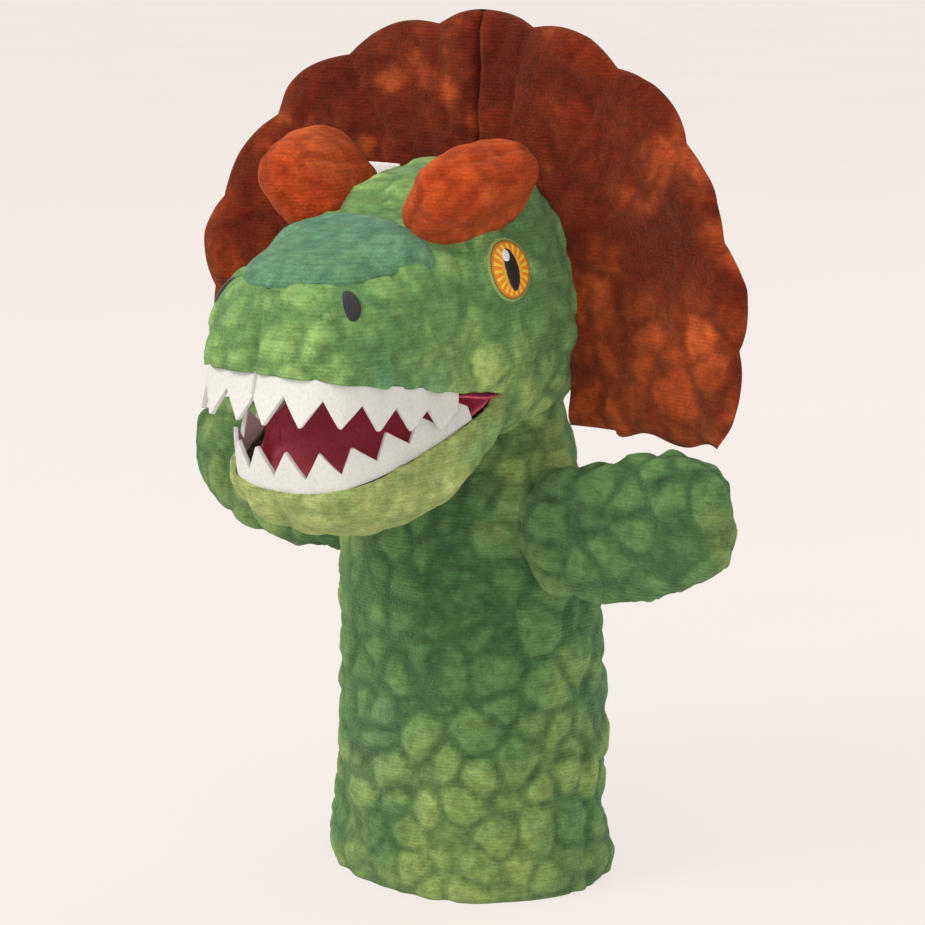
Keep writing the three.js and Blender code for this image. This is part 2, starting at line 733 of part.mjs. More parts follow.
function addArm(name, side, raise) {
  const matrix = new THREE.Matrix4()
    .makeTranslation(side * ARM.seam, -ARM.forward, ARM.height)
    .multiply(new THREE.Matrix4().makeRotationY(-side * raise * DEG))
    .multiply(new THREE.Matrix4().makeRotationZ(side > 0 ? 0 : Math.PI));
  const skin = armBody(0).subtract(armBody(-PLUSH)).intersect(armRoom());
  const [front, back] = side > 0 ? [infront, behind] : [behind, infront];
  const cut = side > 0 ? GAP / 2 : -GAP / 2;
  const put = (piece, body, finish) => place(piece, moved(largest(body), matrix), finish);
  put(`${name}_arm_front_panel`, skin.intersect(front(cut)), "green");
  put(`${name}_arm_back_panel`, skin.intersect(back(-cut)), "green");
  put(`${name}_arm_stuffing`, armBody(-PLUSH - GAP).intersect(armRoom()).intersect(leftOf(1)), "fill");
}

// ---- Frill --------------------------------------------------------------------------

// The fan's outline: a wide arch with scallops, closed by a level lower edge.
function frillShape() {
  const shape = new THREE.Shape();
  const steps = 4 * FRILL.scallops;
  const dip = Math.asin((FRILL.centreHeight - FRILL.bottom) / FRILL.rise);
  for (let i = 0; i <= steps; i++) {
    const share = i / steps;
    const turn = -dip + share * (Math.PI + 2 * dip);
    const wave = Math.abs(Math.sin(share * FRILL.scallops * Math.PI));
    const inset = FRILL.scallopDepth * (1 - wave);
    const x = (FRILL.halfWidth - inset) * Math.cos(turn);
    const z = FRILL.centreHeight + (FRILL.rise - inset) * Math.sin(turn);
    if (i === 0) shape.moveTo(x, z);
    else shape.lineTo(x, z);
  }
  shape.closePath();
  return shape;
}

function addFrill() {
  const layers = [
    ["front", 0, FRILL.layer, "rust"],
    ["batting", FRILL.layer + GAP, FRILL.batting, "fill"],
    ["back", FRILL.layer + FRILL.batting + 2 * GAP, FRILL.layer, "rust"],
  ];
  const neckRoom = new THREE.BoxGeometry(2 * (FRILL.foldSide - 2), 2 * FAR, 2 * FAR);
  const under = solid(
    neckRoom,
    new THREE.Matrix4().makeTranslation(0, 0, FOLD_HEIGHT + 8 - FAR),
  );
  const head = moved(headForm(RUNNING_GAP), toHead);
  for (const [layer, depth, thickness, finish] of layers) {
    const sheet = new THREE.ExtrudeGeometry(frillShape(), {
      depth: thickness,
      bevelEnabled: false,
    });
    // The shape is drawn in X and Z and is thick in Y.
    const stand = new THREE.Matrix4()
      .makeTranslation(0, FRILL.back + depth + thickness, 0)
      .multiply(new THREE.Matrix4().makeRotationX(Math.PI / 2));
    const whole = solid(sheet, stand);
    const centre = whole
      .intersect(rightOf(FRILL.foldSide - RUNNING_GAP / 2))
      .intersect(leftOf(-FRILL.foldSide + RUNNING_GAP / 2))
      .subtract(head)
      .subtract(under);
    place(`frill_centre_${layer}`, largest(centre), finish);
    for (const [name, side, beyond] of [["left", 1, leftOf], ["right", -1, rightOf]]) {
      const start = side * (FRILL.foldSide + RUNNING_GAP / 2);
      const relief = halfSpace(
        new THREE.Vector3(start, FRILL.back, 0),
        new THREE.Vector3(side * Math.cos(FRILL.relief * DEG), -Math.sin(FRILL.relief * DEG), 0),
      );
      const leaf = whole.intersect(beyond(start)).intersect(relief);
      const hinge = new THREE.Matrix4()
        .makeTranslation(side * FRILL.foldSide, FRILL.back, 0)
        .multiply(new THREE.Matrix4().makeRotationZ(-side * FRILL.sweep * DEG))
        .multiply(new THREE.Matrix4().makeTranslation(-side * FRILL.foldSide, -FRILL.back, 0));
      place(`frill_${name}_${layer}`, largest(moved(leaf, hinge).subtract(head)), finish);
    }
  }
}

function addLabel() {
  const tag = new THREE.BoxGeometry(2 * LABEL.halfWidth, LABEL.thickness, LABEL.height);
  const matrix = new THREE.Matrix4().makeTranslation(
    LABEL.side,
    -LABEL.forward,
    LABEL.top - LABEL.height / 2,
  );
  place("care_label", solid(tag, matrix).subtract(headForm(GAP)), "white", headFrame);
}

addSleeve();
addNeck();
addHeadSkin();
addMouthRoof();
addJaw();
addTeeth();
addFace();
addCrest("left", 1);
addCrest("right", -1);
addArm("left", 1, LEFT_ARM_RAISE);
addArm("right", -1, RIGHT_ARM_RAISE);
addFrill();
addLabel();

export default puppet;
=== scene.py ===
"""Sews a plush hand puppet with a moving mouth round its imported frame."""

import math

import bmesh
import bpy
from mathutils import Matrix, Vector, noise


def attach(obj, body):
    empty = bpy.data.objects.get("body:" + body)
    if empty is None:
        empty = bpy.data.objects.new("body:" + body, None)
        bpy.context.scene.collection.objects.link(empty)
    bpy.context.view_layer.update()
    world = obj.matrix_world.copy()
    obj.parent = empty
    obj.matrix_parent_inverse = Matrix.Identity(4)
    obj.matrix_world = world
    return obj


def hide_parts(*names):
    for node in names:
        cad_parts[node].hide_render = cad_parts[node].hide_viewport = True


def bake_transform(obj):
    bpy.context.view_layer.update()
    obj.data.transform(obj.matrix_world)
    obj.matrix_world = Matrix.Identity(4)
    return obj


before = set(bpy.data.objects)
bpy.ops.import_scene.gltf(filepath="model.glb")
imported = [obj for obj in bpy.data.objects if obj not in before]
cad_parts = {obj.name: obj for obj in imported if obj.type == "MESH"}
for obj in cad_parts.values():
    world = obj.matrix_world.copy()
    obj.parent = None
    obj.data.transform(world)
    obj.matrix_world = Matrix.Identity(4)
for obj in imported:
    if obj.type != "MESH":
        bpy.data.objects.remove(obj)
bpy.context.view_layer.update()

bl_info = {
    "name": "Moving mouth hand puppet", "version": (1, 0, 0), "blender": (4, 5, 0),
    "location": "View3D > Sidebar > Puppet",
    "description": "Sews a plush hand puppet with a frill, crests and felt teeth",
    "category": "Add Mesh",
}

MM = 0.001

# ---- Pattern sizes, in millimetres and degrees ----------------------------------------

# Sleeve and neck: height, half width, half depth.
SLEEVE = [
    (0, 54, 46.5),
    (12, 53.5, 46),
    (30, 51.5, 44.5),
    (70, 50, 43),
    (108, 49.5, 40),
    (124, 49, 37.5),
    (136, 47.5, 35),
    (150, 42.5, 31),
]
COLLAR = [(142, 42, 30.5), (150, 41, 30), (158, 39.5, 29), (166, 37.5, 27.5), (178, 34, 25)]
HEM = 20
HEM_ROLL = 2.4
PLUSH = 2.5

# Head and jaw: forward of the mouth's fold, half width, underside, top.
HEAD = [
    (-70, 0, 28, 28),
    (-68.5, 15, 12, 44),
    (-62, 26, -3, 57),
    (-49, 36, -15, 68),
    (-34, 42, -20, 74),
    (-16, 44, -22, 76.5),
    (0, 44.5, -24, 73.5),
    (18, 43.5, -24, 66),
    (34, 41, -22, 55),
    (50, 38, -20, 43.5),
    (64, 34, -18, 36.5),
    (74, 26.5, -14, 31),
    (79, 16, -3, 26),
    (80.5, 0, 13, 13),
]
JAW = [
    (-14, 0, -4, -4),
    (-12, 20, -12, 9),
    (-5, 36, -16, 14),
    (6, 40, -22, 17),
    (22, 40, -30.5, 17),
    (42, 37, -30.5, 16),
    (58, 31.5, -25, 14),
    (69, 23, -18, 11),
    (74, 12, -11, 6),
    (75.5, 0, -2, -2),
]
ROUNDNESS = 2.5
FOLD = Vector((0, -33, 180))
HEAD_PITCH = -10
JAW_OPEN = 30.5
CROWN_HALF_WIDTH = 21
RIDGE_START = 35
RIDGE_EDGE = 40
RIDGE_DROP = 16
RIDGE_PUFF = 4.2

PALATE_RISE = 8
FLOOR_DROP = 3
LINING_INSET = 2.8
FLOOR_INSET = 3.1
PALATE_REACH = 78.0
FLOOR_REACH = 72.0
FLOOR_HALF_WIDTH = 38.6
UPPER_LIP_DROP = 1.2

TEETH_PER_SIDE = 6
TOOTH_PITCH = 13.4
FELT = 1.6
UPPER_STRIP = {"band": 6.5, "tooth": 10.5, "inset": 2.2, "lean": 0.07}
LOWER_STRIP = {"band": 5.0, "tooth": 9.5, "inset": 2.9, "lean": -0.16}
BACK_TOOTH_SHARE = 0.62
STRIP_TUCK = 0.6

EYE = {"forward": 8, "height": 41, "half_width": 9.2, "half_height": 9.4, "tilt": 15}
NOSTRIL = {"forward": 68, "height": 24.5, "half_width": 2.1, "half_height": 4.8, "tilt": -16}

CREST = {
    "forward": 18, "side": 28.5, "height": 60, "length": 44, "rise": 37, "sunk": 12,
    "thickness": 25, "lean": 40, "toe": 12, "pitch": 20, "seat": 32, "squareness": 0.55,
    "bean": 0.06, "print_share": 0.9,
}
ARM = {
    "seam": 51, "forward": 13, "height": 130.5, "length": 69, "root": 25.5, "tip": 22.5,
    "thickness": 22, "inside": 17, "middle_share": 0.44, "squareness": 0.7,
    "root_puff": 0.35, "tip_lift": 6.0,
}
ARM_RAISE = {1: 9, -1: 5}
FRILL = {
    "back": 6.8, "half_width": 121, "centre": 200, "rise": 103.5, "bottom": 163.5,
    "scallops": 11, "dip": 4.0, "fold_side": 49, "sweep": 14, "thickness": 7.6,
    "print_share": 1.15,
}
# Where the frill is sewn on: share of the way down, distance from the middle, height.
FRILL_ROOT = [(0, 0, 234), (0.35, 22, 222), (0.65, 35, 200), (0.85, 39, 181), (1, 38, 163)]
# Short cloth simulation that swells the stuffed pieces.
SWELL_PRESSURE = 4
SWELL_QUALITY = 6
SWELL_FRAMES = 20
LABEL = {"half_width": 7, "top": 73.5, "height": 11, "side": -34, "forward": -15}


def turned(axis, degrees):
    return Matrix.Rotation(math.radians(degrees), 4, axis)


HEAD_FRAME = Matrix.Translation(FOLD) @ turned("X", HEAD_PITCH)
JAW_FRAME = HEAD_FRAME @ turned("X", JAW_OPEN)

# ---- Settings a user would change -----------------------------------------------------


def length(name, description, value):
    return bpy.props.FloatProperty(
        name=name, description=description, default=value, unit="LENGTH", subtype="DISTANCE"
    )


def colour(name, description, value):
    return bpy.props.FloatVectorProperty(
        name=name, description=description, subtype="COLOR", size=4, min=0, max=1,
        default=(*value, 1),
    )


class PuppetSizes(bpy.types.PropertyGroup):
    """Sizes of the cloth's printed and sewn relief"""

    scale_size: length("Scale size", "Width of one printed and embossed scale", 0.0145)
    scale_relief: length("Scale relief", "Height of a scale over its outline", 0.0018)
    frill_relief: length("Frill relief", "Height of the puffs on the frill", 0.0012)
    row_pitch: length("Knit row pitch", "Distance between rows of the knitted plush", 0.0013)


class PuppetColours(bpy.types.PropertyGroup):
    """Colours of the cloths and threads"""

    leaf: colour("Leaf green", "Body plush", (0.112, 0.235, 0.074))
    moss: colour("Moss", "Outlines between body scales", (0.028, 0.085, 0.03))
    meadow: colour("Meadow", "Yellow-green patches", (0.27, 0.36, 0.105))
    lagoon: colour("Lagoon", "Blue-green patches", (0.07, 0.2, 0.125))
    chin: colour("Chin", "Yellow-green plush under the mouth", (0.4, 0.47, 0.155))
    rust: colour("Rust", "Frill plush", (0.2, 0.019, 0.0035))
    maroon: colour("Maroon", "Dark mottling of the frill", (0.055, 0.004, 0.001))
    # Ember is the frill's bright mottling and also the colour of its painted light.
    ember: colour("Ember", "Bright mottling of the frill", (0.78, 0.14, 0.028))
    wine: colour("Wine", "Mouth lining", (0.6, 0.1, 0.15))
    felt: colour("Felt", "Teeth", (0.6, 0.6, 0.575))
    iris: colour("Iris", "Eye thread", (0.86, 0.27, 0.01))
    honey: colour("Honey", "Stitches in the iris", (0.93, 0.62, 0.05))


# ---- Shaping --------------------------------------------------------------------------


def smooth(low, high, value):
    """Rises from 0 at low to 1 at high without a corner; low may be the larger."""
    share = min(1.0, max(0.0, (value - low) / (high - low)))
    return share * share * (3 - 2 * share)


def mound(value, width):
    """1 at 0, falling away on both sides over a width."""
    return math.exp(-((value / width) ** 2))


def signed_power(value, power):
    return math.copysign(abs(value) ** power, value)


def along(rows, share):
    """One row of a table at a share of its length, on a smooth curve through the rows."""
    last = len(rows) - 1
    step = min(int(share * last), last - 1)
    w = share * last - step

    def row(i):
        if i < 0:
            return [2 * a - b for a, b in zip(rows[0], rows[1])]
        if i > last:
            return [2 * a - b for a, b in zip(rows[-1], rows[-2])]
        return rows[i]

    found = []
    for a, b, c, d in zip(row(step - 1), row(step), row(step + 1), row(step + 2)):
        into, out = (c - a) / 2, (d - b) / 2
        found.append(
            b
            + into * w
            + (3 * (c - b) - 2 * into - out) * w * w
            + (2 * (b - c) + into + out) * w**3
        )
    return found


def at_forward(rows, forward):
    """The section of a table at one distance forward."""
    low, high = 0.0, 1.0
    for _ in range(30):
        middle = (low + high) / 2
        if along(rows, middle)[0] < forward:
            low = middle
        else:
            high = middle
    return along(rows, (low + high) / 2)


def half_width_at(rows, forward, height):
    """Half the width of a lofted form at one distance forward and one height."""
    _, wide, low, high = at_forward(rows, forward)
    half = max((high - low) / 2, 0.01)
    rise = min(1.0, abs(height - (high + low) / 2) / half)
    return max(wide, 0) * (1 - rise**ROUNDNESS) ** (1 / ROUNDNESS)


def lofted(rows, around, lengths):
    """A closed body through [forward, half width, underside, top] rows, drawn from a sphere."""
    form = bmesh.new()
    bmesh.ops.create_uvsphere(form, u_segments=around, v_segments=lengths, radius=1)
    power = 2 / ROUNDNESS
    for vertex in form.verts:
        share = math.acos(max(-1.0, min(1.0, vertex.co.z))) / math.pi
        turn = math.atan2(vertex.co.y, vertex.co.x)
        forward, wide, low, high = along(rows, share)
        pole = math.hypot(vertex.co.x, vertex.co.y) < 1e-5
        wide = 0 if pole else max(wide, 0.4)
        tall = 0 if pole else max((high - low) / 2, 0.4)
        vertex.co = (
            wide * signed_power(math.cos(turn), power),
            -forward,
            (high + low) / 2 + tall * signed_power(math.sin(turn), power),
        )
    return facing_out(form)


def facing_out(form):
    """Turns the faces of a closed form outwards."""
    bmesh.ops.recalc_face_normals(form, faces=form.faces)
    if form.calc_volume(signed=True) < 0:
        bmesh.ops.reverse_faces(form, faces=form.faces)
    return form


def cut(form, point, normal, clear=False):
    """Slices a form by a plane; clear takes away what lies on the normal's side."""
    bmesh.ops.bisect_plane(
        form, geom=form.verts[:] + form.edges[:] + form.faces[:], plane_co=point,
        plane_no=normal, clear_outer=clear, dist=1e-4,
    )


def take_away(form, unwanted):
    """Deletes the faces whose middles are unwanted, with what they leave loose."""
    faces = [f for f in form.faces if unwanted(f.calc_center_median())]
    bmesh.ops.delete(form, geom=faces, context="FACES")


def gridded(columns, rows, place):
    """A sheet of cloth: place gives the point for two shares from 0 to 1."""
    form = bmesh.new()
    bmesh.ops.create_grid(form, x_segments=columns, y_segments=rows, size=0.5)
    for vertex in form.verts:
        vertex.co = place(vertex.co.x + 0.5, vertex.co.y + 0.5)
    return form


def quilted(columns, rows, place, depth):
    """A pad between two sheets sewn together round their edge."""
    form = bmesh.new()
    bmesh.ops.create_grid(form, x_segments=columns, y_segments=rows, size=0.5)
    back = bmesh.ops.duplicate(form, geom=form.verts[:] + form.edges[:] + form.faces[:])
    back = {item for item in back["geom"] if isinstance(item, bmesh.types.BMVert)}
    for vertex in form.verts:
        u, v = vertex.co.x + 0.5, vertex.co.y + 0.5
        middle, out = place(u, v)
        rim = min(u, 1 - u, v, 1 - v) < 1e-5
        half = 0 if rim else depth(u, v)
        vertex.co = middle + out * (-half if vertex in back else half)
    bmesh.ops.remove_doubles(form, verts=form.verts, dist=1e-3)
    return facing_out(form)


def tubed(rows, around, step, inset=0.0):
    """An upright open tube through [height, half width, half depth] rows."""
    form = bmesh.new()
    ring = bmesh.ops.create_circle(form, cap_ends=False, segments=around, radius=1)
    edges = list({edge for vertex in ring["verts"] for edge in vertex.link_edges})
    low, high = rows[0][0], rows[-1][0]
    count = max(2, round((high - low) / step))
    for _ in range(count):
        made = bmesh.ops.extrude_edge_only(form, edges=edges)["geom"]
        edges = [item for item in made if isinstance(item, bmesh.types.BMEdge)]
        moved = [item for item in made if isinstance(item, bmesh.types.BMVert)]
        bmesh.ops.translate(form, vec=(0, 0, 1), verts=moved)
    for vertex in form.verts:
        height = low + (high - low) * vertex.co.z / count
        _, wide, deep = at_forward(rows, height)
        vertex.co = (vertex.co.x * (wide - inset), vertex.co.y * (deep - inset), height)
    bmesh.ops.recalc_face_normals(form, faces=form.faces)
    form.faces.ensure_lookup_table()
    first = form.faces[0]
    middle = first.calc_center_median()
    if first.normal.x * middle.x + first.normal.y * middle.y < 0:
        bmesh.ops.reverse_faces(form, faces=form.faces)
    return form


def cushioned(around, rings, outline, half_depth):
    """A stuffed shape lying in the XZ plane, pinched to a seam round its outline."""
    form = bmesh.new()
    bmesh.ops.create_uvsphere(form, u_segments=around, v_segments=rings, radius=1)
    for vertex in form.verts:
        polar = math.acos(max(-1.0, min(1.0, vertex.co.z)))
        turn = math.atan2(vertex.co.y, vertex.co.x)
        reach = max(0.0, math.sin(polar)) ** 0.82
        x, z, reach_x, reach_z = outline(turn)
        bulge = half_depth(turn, reach)
        vertex.co = (
            x + reach_x * reach, bulge * signed_power(math.cos(polar), 0.8), z + reach_z * reach
        )
    return facing_out(form)


def pressed(form, relief):
    """Moves each vertex along its normal by relief(point), in millimetres."""
    form.normal_update()
    moves = [(vertex, vertex.normal * relief(vertex.co)) for vertex in form.verts]
    for vertex, move in moves:
        vertex.co += move


def embossed(piece, matrix, relief, print_size):
    """Presses and prints a stuffed piece after it has swelled; relief works in its own frame."""
    form = bmesh.new()
    form.from_mesh(piece.data)
    own = matrix.inverted() @ Matrix.Scale(1 / MM, 4)
    form.transform(own)
    pressed(form, relief)
    form.transform(own.inverted())
    printed(form, print_size)
    form.to_mesh(piece.data)
    form.free()


def printed(form, size, print_and_painted_light=None):
    """Marks each vertex with its place in a printed scale, and how far the mixed-in bright colour
    reaches, partly a yellow-green print and partly painted light.
    """
    # The bright colour stored here is partly print and partly painted light.
    print_and_light_layer = form.verts.layers.float.new("print_and_painted_light")
    inside = form.verts.layers.float.new("scale_inside")
    tone = form.verts.layers.float.new("scale_tone")
    for vertex in form.verts:
        vertex[inside], vertex[tone] = scale_at(vertex.co, size)
        vertex[print_and_light_layer] = print_and_painted_light(vertex.co / MM) if print_and_painted_light else 0.0


def scale_at(point, size):
    """How far inside a scale a point is, from 0 on its outline to 1, and the scale's own tone."""
    distances, centres = noise.voronoi(point / size)
    inside = smooth(0.0, 0.5, distances[1] - distances[0])
    return inside, tone_of(centres[0])


def tone_of(centre):
    """A scale's own shade, from 0 to 1."""
    return 0.5 + 0.5 * noise.noise(centre * 3.7 + Vector((11.3, 4.1, 7.7)))


def finished(form, name, frame_matrix=None, print_size=None, thickness=None, print_and_painted_light=None):
    """Makes the form an object in metres at the origin, printed with scales and given a wall."""
    bmesh.ops.remove_doubles(form, verts=form.verts, dist=1e-4)
    form.transform(Matrix.Scale(MM, 4) @ (frame_matrix or Matrix()))
    for face in form.faces:
        face.smooth = True
    if print_size:
        printed(form, print_size, print_and_painted_light)
    mesh = bpy.data.meshes.new(name)
    form.to_mesh(mesh)
    form.free()
    piece = bpy.data.objects.new(name, mesh)
    bpy.context.scene.collection.objects.link(piece)
    if thickness:
        wall = piece.modifiers.new("Cloth thickness", "SOLIDIFY")
        wall.thickness = thickness * MM
        wall.offset = -1
        wall.use_even_offset = False
    return piece


def sew_on(piece, body, slot_name, material, *nodes):
    """Gives a piece its cloth, its body and the frame parts that it stands for."""
    piece.data.materials.append(material)
    if body:
        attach(piece, body)
    if nodes:
        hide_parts(*nodes)
    return piece


def swelled(piece, cell, cap):
    """Lets a stuffed piece swell and wrinkle under pressure, no point moving past the cap."""
    bpy.ops.object.select_all(action="DESELECT")
    bpy.context.view_layer.objects.active = piece
    piece.select_set(True)
    remesh = piece.modifiers.new("Even cloth", "REMESH")
    remesh.mode = "VOXEL"
    remesh.voxel_size = cell
    bpy.ops.object.modifier_apply(modifier=remesh.name)
    rest = [vertex.co.copy() for vertex in piece.data.vertices]
    cloth = piece.modifiers.new("Stuffing", "CLOTH")
    cloth.settings.use_pressure = True
    cloth.settings.uniform_pressure_force = SWELL_PRESSURE
    cloth.settings.effector_weights.gravity = 0
    cloth.settings.quality = SWELL_QUALITY
    cloth.point_cache.frame_start = 1
    cloth.point_cache.frame_end = SWELL_FRAMES
    scene = bpy.context.scene
    for step in range(1, SWELL_FRAMES + 1):
        scene.frame_set(step)
    bpy.ops.object.modifier_apply(modifier=cloth.name)
    scene.frame_set(1)
    for vertex, start in zip(piece.data.vertices, rest):
        move = vertex.co - start
        if move.length > cap:
            vertex.co = start + move.normalized() * cap
    form = bmesh.new()
    form.from_mesh(piece.data)
    bmesh.ops.smooth_vert(
        form, verts=form.verts, factor=0.5, use_axis_x=True, use_axis_y=True, use_axis_z=True
    )
    bmesh.ops.subdivide_edges(form, edges=form.edges, cuts=1, use_grid_fill=True, smooth=0.4)
    for face in form.faces:
        face.smooth = True
    form.to_mesh(piece.data)
    form.free()


def stuffed(form, name, matrix, cell, cap, relief, print_size):
    """Swells a stuffed piece, then sews and prints it."""
    piece = finished(form, name, matrix)
    swelled(piece, cell, cap)
    embossed(piece, matrix, relief, print_size)
    return piece


# ---- Shader building ------------------------------------------------------------------


def add(tree, kind, inputs=None, **settings):
    """A node with its settings, whose inputs are values or other nodes' outputs."""
    node = tree.nodes.new(kind)
    for key, value in settings.items():
        setattr(node, key, value)
    for key, value in (inputs or {}).items():
        if isinstance(value, bpy.types.NodeSocket):
            tree.links.new(value, node.inputs[key])
        else:
            node.inputs[key].default_value = value
    return node


def mixed(tree, factor, one, two, blend="MIX"):
    node = add(tree, "ShaderNodeMix", data_type="RGBA", blend_type=blend)
    for index, value in ((0, factor), (6, one), (7, two)):
        if isinstance(value, bpy.types.NodeSocket):
            tree.links.new(value, node.inputs[index])
        else:
            node.inputs[index].default_value = value
    return node.outputs[2]


def maths(tree, operation, one, two=0.0):
    return add(tree, "ShaderNodeMath", {0: one, 1: two}, operation=operation).outputs[0]


def spread(tree, value, low, high, out_low=0.0, out_high=1.0):
    node = add(
        tree,
        "ShaderNodeMapRange",
        {"Value": value, "From Min": low, "From Max": high, "To Min": out_low, "To Max": out_high},
        interpolation_type="SMOOTHSTEP",
    )
    return node.outputs[0]


def shaded(tree, surface, gain):
    """A colour made lighter or darker by a gain."""
    grey = add(tree, "ShaderNodeCombineColor", {0: gain, 1: gain, 2: gain}).outputs[0]
    return mixed(tree, 1.0, surface, grey, "MULTIPLY")


def cloudy(tree, vector, scale, detail=2.0, roughness=0.5):
    node = add(
        tree,
        "ShaderNodeTexNoise",
        {"Vector": vector, "Scale": scale, "Detail": detail, "Roughness": roughness},
    )
    return node.outputs["Fac"]


def new_group(name, inputs, outputs):
    """A shader node group with named inputs and outputs."""
    group = bpy.data.node_groups.new(name, "ShaderNodeTree")
    for label, kind, value in inputs:
        socket = group.interface.new_socket(label, in_out="INPUT", socket_type=kind)
        if value is not None:
            socket.default_value = value
    for label, kind in outputs:
        group.interface.new_socket(label, in_out="OUTPUT", socket_type=kind)
    entry = group.nodes.new("NodeGroupInput")
    leave = group.nodes.new("NodeGroupOutput")
    return group, entry, leave


def pile_group():
    """Short knitted pile: rows, naps and fibres, with its height and a fleck of shade."""
    name = "Knitted pile"
    if name in bpy.data.node_groups:
        return bpy.data.node_groups[name]
    group, entry, leave = new_group(
        name,
        [
            ("Vector", "NodeSocketVector", None),
            ("Row Scale", "NodeSocketFloat", 240.0),
            ("Rows", "NodeSocketFloat", 0.5),
        ],
        [("Height", "NodeSocketFloat"), ("Fleck", "NodeSocketFloat")],
    )
    vector = entry.outputs["Vector"]
    rows = add(
        group,
        "ShaderNodeTexWave",
        {
            "Vector": vector, "Scale": entry.outputs["Row Scale"], "Distortion": 2.4,
            "Detail": 2.0, "Detail Scale": 1.6,
        },
        bands_direction="Z",
    ).outputs["Fac"]
    fibre = cloudy(group, vector, 1500, 3, 0.65)
    nap = cloudy(group, vector, 240, 3, 0.6)
    row_share = maths(group, "MULTIPLY", rows, entry.outputs["Rows"])
    height = maths(group, "ADD", row_share, maths(group, "MULTIPLY", fibre, 0.9))
    height = maths(group, "ADD", height, maths(group, "MULTIPLY", nap, 1.4))
    fleck = maths(group, "MULTIPLY", fibre, 0.55)
    fleck = maths(group, "ADD", fleck, maths(group, "MULTIPLY", nap, 0.8))
    fleck = maths(group, "ADD", fleck, maths(group, "MULTIPLY", row_share, 0.35))
    group.links.new(height, leave.inputs["Height"])
    group.links.new(fleck, leave.inputs["Fleck"])
    return group


def bare(name):
    """A material with only its surface shader, and the object's own coordinates."""
    material = bpy.data.materials.new(name)
    material.use_nodes = True
    tree = material.node_tree
    tree.nodes.clear()
    shader = add(tree, "ShaderNodeBsdfPrincipled")
    out = add(tree, "ShaderNodeOutputMaterial")
    tree.links.new(shader.outputs[0], out.inputs[0])
    place = add(tree, "ShaderNodeTexCoord").outputs["Object"]
    return material, tree, shader, place


def bumped(tree, shader, height, distance, strength):
    given = {"Height": height, "Distance": distance, "Strength": strength}
    bump = add(tree, "ShaderNodeBump", given)
    tree.links.new(bump.outputs[0], shader.inputs["Normal"])


def set_cloth(shader, roughness, sheen, tint, specular=0.15):
    shader.inputs["Roughness"].default_value = roughness
    shader.inputs["Sheen Weight"].default_value = sheen
    shader.inputs["Sheen Roughness"].default_value = 0.42
    shader.inputs["Sheen Tint"].default_value = tint
    shader.inputs["Specular IOR Level"].default_value = specular


def lit(value, gain):
    """A colour made brighter or darker, opaque."""
    return (*(min(1.0, channel * gain) for channel in tuple(value)[:3]), 1)


def plush(
    name, outline, base, bright, accent, bright_share, accent_share, tint, sheen=0.28, patch=16.0
):
    """Printed velvet plush: scales outlined in a deeper colour, with wide patches of two others."""
    if name in bpy.data.materials:
        return bpy.data.materials[name]
    material, tree, shader, place = bare(name)
    inside = add(tree, "ShaderNodeAttribute", attribute_name="scale_inside").outputs["Fac"]
    tone = add(tree, "ShaderNodeAttribute", attribute_name="scale_tone").outputs["Fac"]
    sizes = bpy.context.scene.puppet_sizes
    pile = add(tree, "ShaderNodeGroup", node_tree=pile_group())
    tree.links.new(place, pile.inputs["Vector"])
    pile.inputs["Row Scale"].default_value = math.tau / 20 / sizes.row_pitch
    pile.inputs["Rows"].default_value = 0.2
    wide = cloudy(tree, place, patch, 3, 0.55)
    shifted = add(tree, "ShaderNodeMapping", {"Vector": place, "Location": (0.31, 0.17, 0.53)})
    other = cloudy(tree, shifted.outputs[0], patch * 0.8, 3, 0.55)
    brighter = spread(tree, wide, 0.62 - bright_share, 0.72 - bright_share * 0.5)
    body = mixed(tree, brighter, base, bright)
    accented = spread(tree, other, 0.64 - accent_share, 0.76 - accent_share * 0.5)
    body = mixed(tree, accented, body, accent)
    # Mixes in the bright colour where the attribute says: partly print, partly painted light, and
    # on the frill all painted light.
    print_and_painted_light = add(tree, "ShaderNodeAttribute", attribute_name="print_and_painted_light").outputs["Fac"]
    body = mixed(tree, print_and_painted_light, body, lit(bright, 1.05))
    toned = mixed(tree, spread(tree, tone, 0.3, 0.7), lit(base, 0.72), body)
    body = mixed(tree, 0.42, body, toned)
    frayed = inside
    for cloud, middle, share in ((wide, 0.46, 1.3), (cloudy(tree, place, 150, 3, 0.6), 0.5, 0.8)):
        off = maths(tree, "MULTIPLY", maths(tree, "SUBTRACT", cloud, middle), share)
        frayed = maths(tree, "ADD", frayed, off)
    surface = mixed(tree, spread(tree, frayed, -0.15, 0.8, 0.2, 1.0), outline, body)
    drawn = add(tree, "ShaderNodeMapping", {"Vector": place, "Scale": (150.0, 150.0, 700.0)})
    streak = cloudy(tree, drawn.outputs[0], 1.0, 2, 0.6)
    fleck = spread(tree, pile.outputs["Fleck"], 0.45, 1.05, 0.6, 1.3)
    fleck = maths(tree, "MULTIPLY", fleck, spread(tree, streak, 0.3, 0.7, 0.9, 1.07))
    tree.links.new(shaded(tree, surface, fleck), shader.inputs["Base Color"])
    bumped(tree, shader, pile.outputs["Height"], 0.0012, 0.85)
    set_cloth(shader, 0.92, sheen, tint)
    return material


def woven(name, value, deep, sheen, roughness=0.75, scale=900.0):
    """A fine smooth cloth, a little uneven in colour."""
    if name in bpy.data.materials:
        return bpy.data.materials[name]
    material, tree, shader, place = bare(name)
    weave = cloudy(tree, place, scale, 2, 0.6)
    wide = cloudy(tree, place, 40, 3, 0.5)
    tint = mixed(tree, spread(tree, wide, 0.3, 0.7), lit(deep, 1), lit(value, 1))
    fleck = spread(tree, weave, 0.3, 0.7, 0.86, 1.1)
    tree.links.new(shaded(tree, tint, fleck), shader.inputs["Base Color"])
    bumped(tree, shader, weave, 0.0003, 0.4)
    set_cloth(shader, roughness, sheen, lit(value, 2.0), 0.25)
    return material


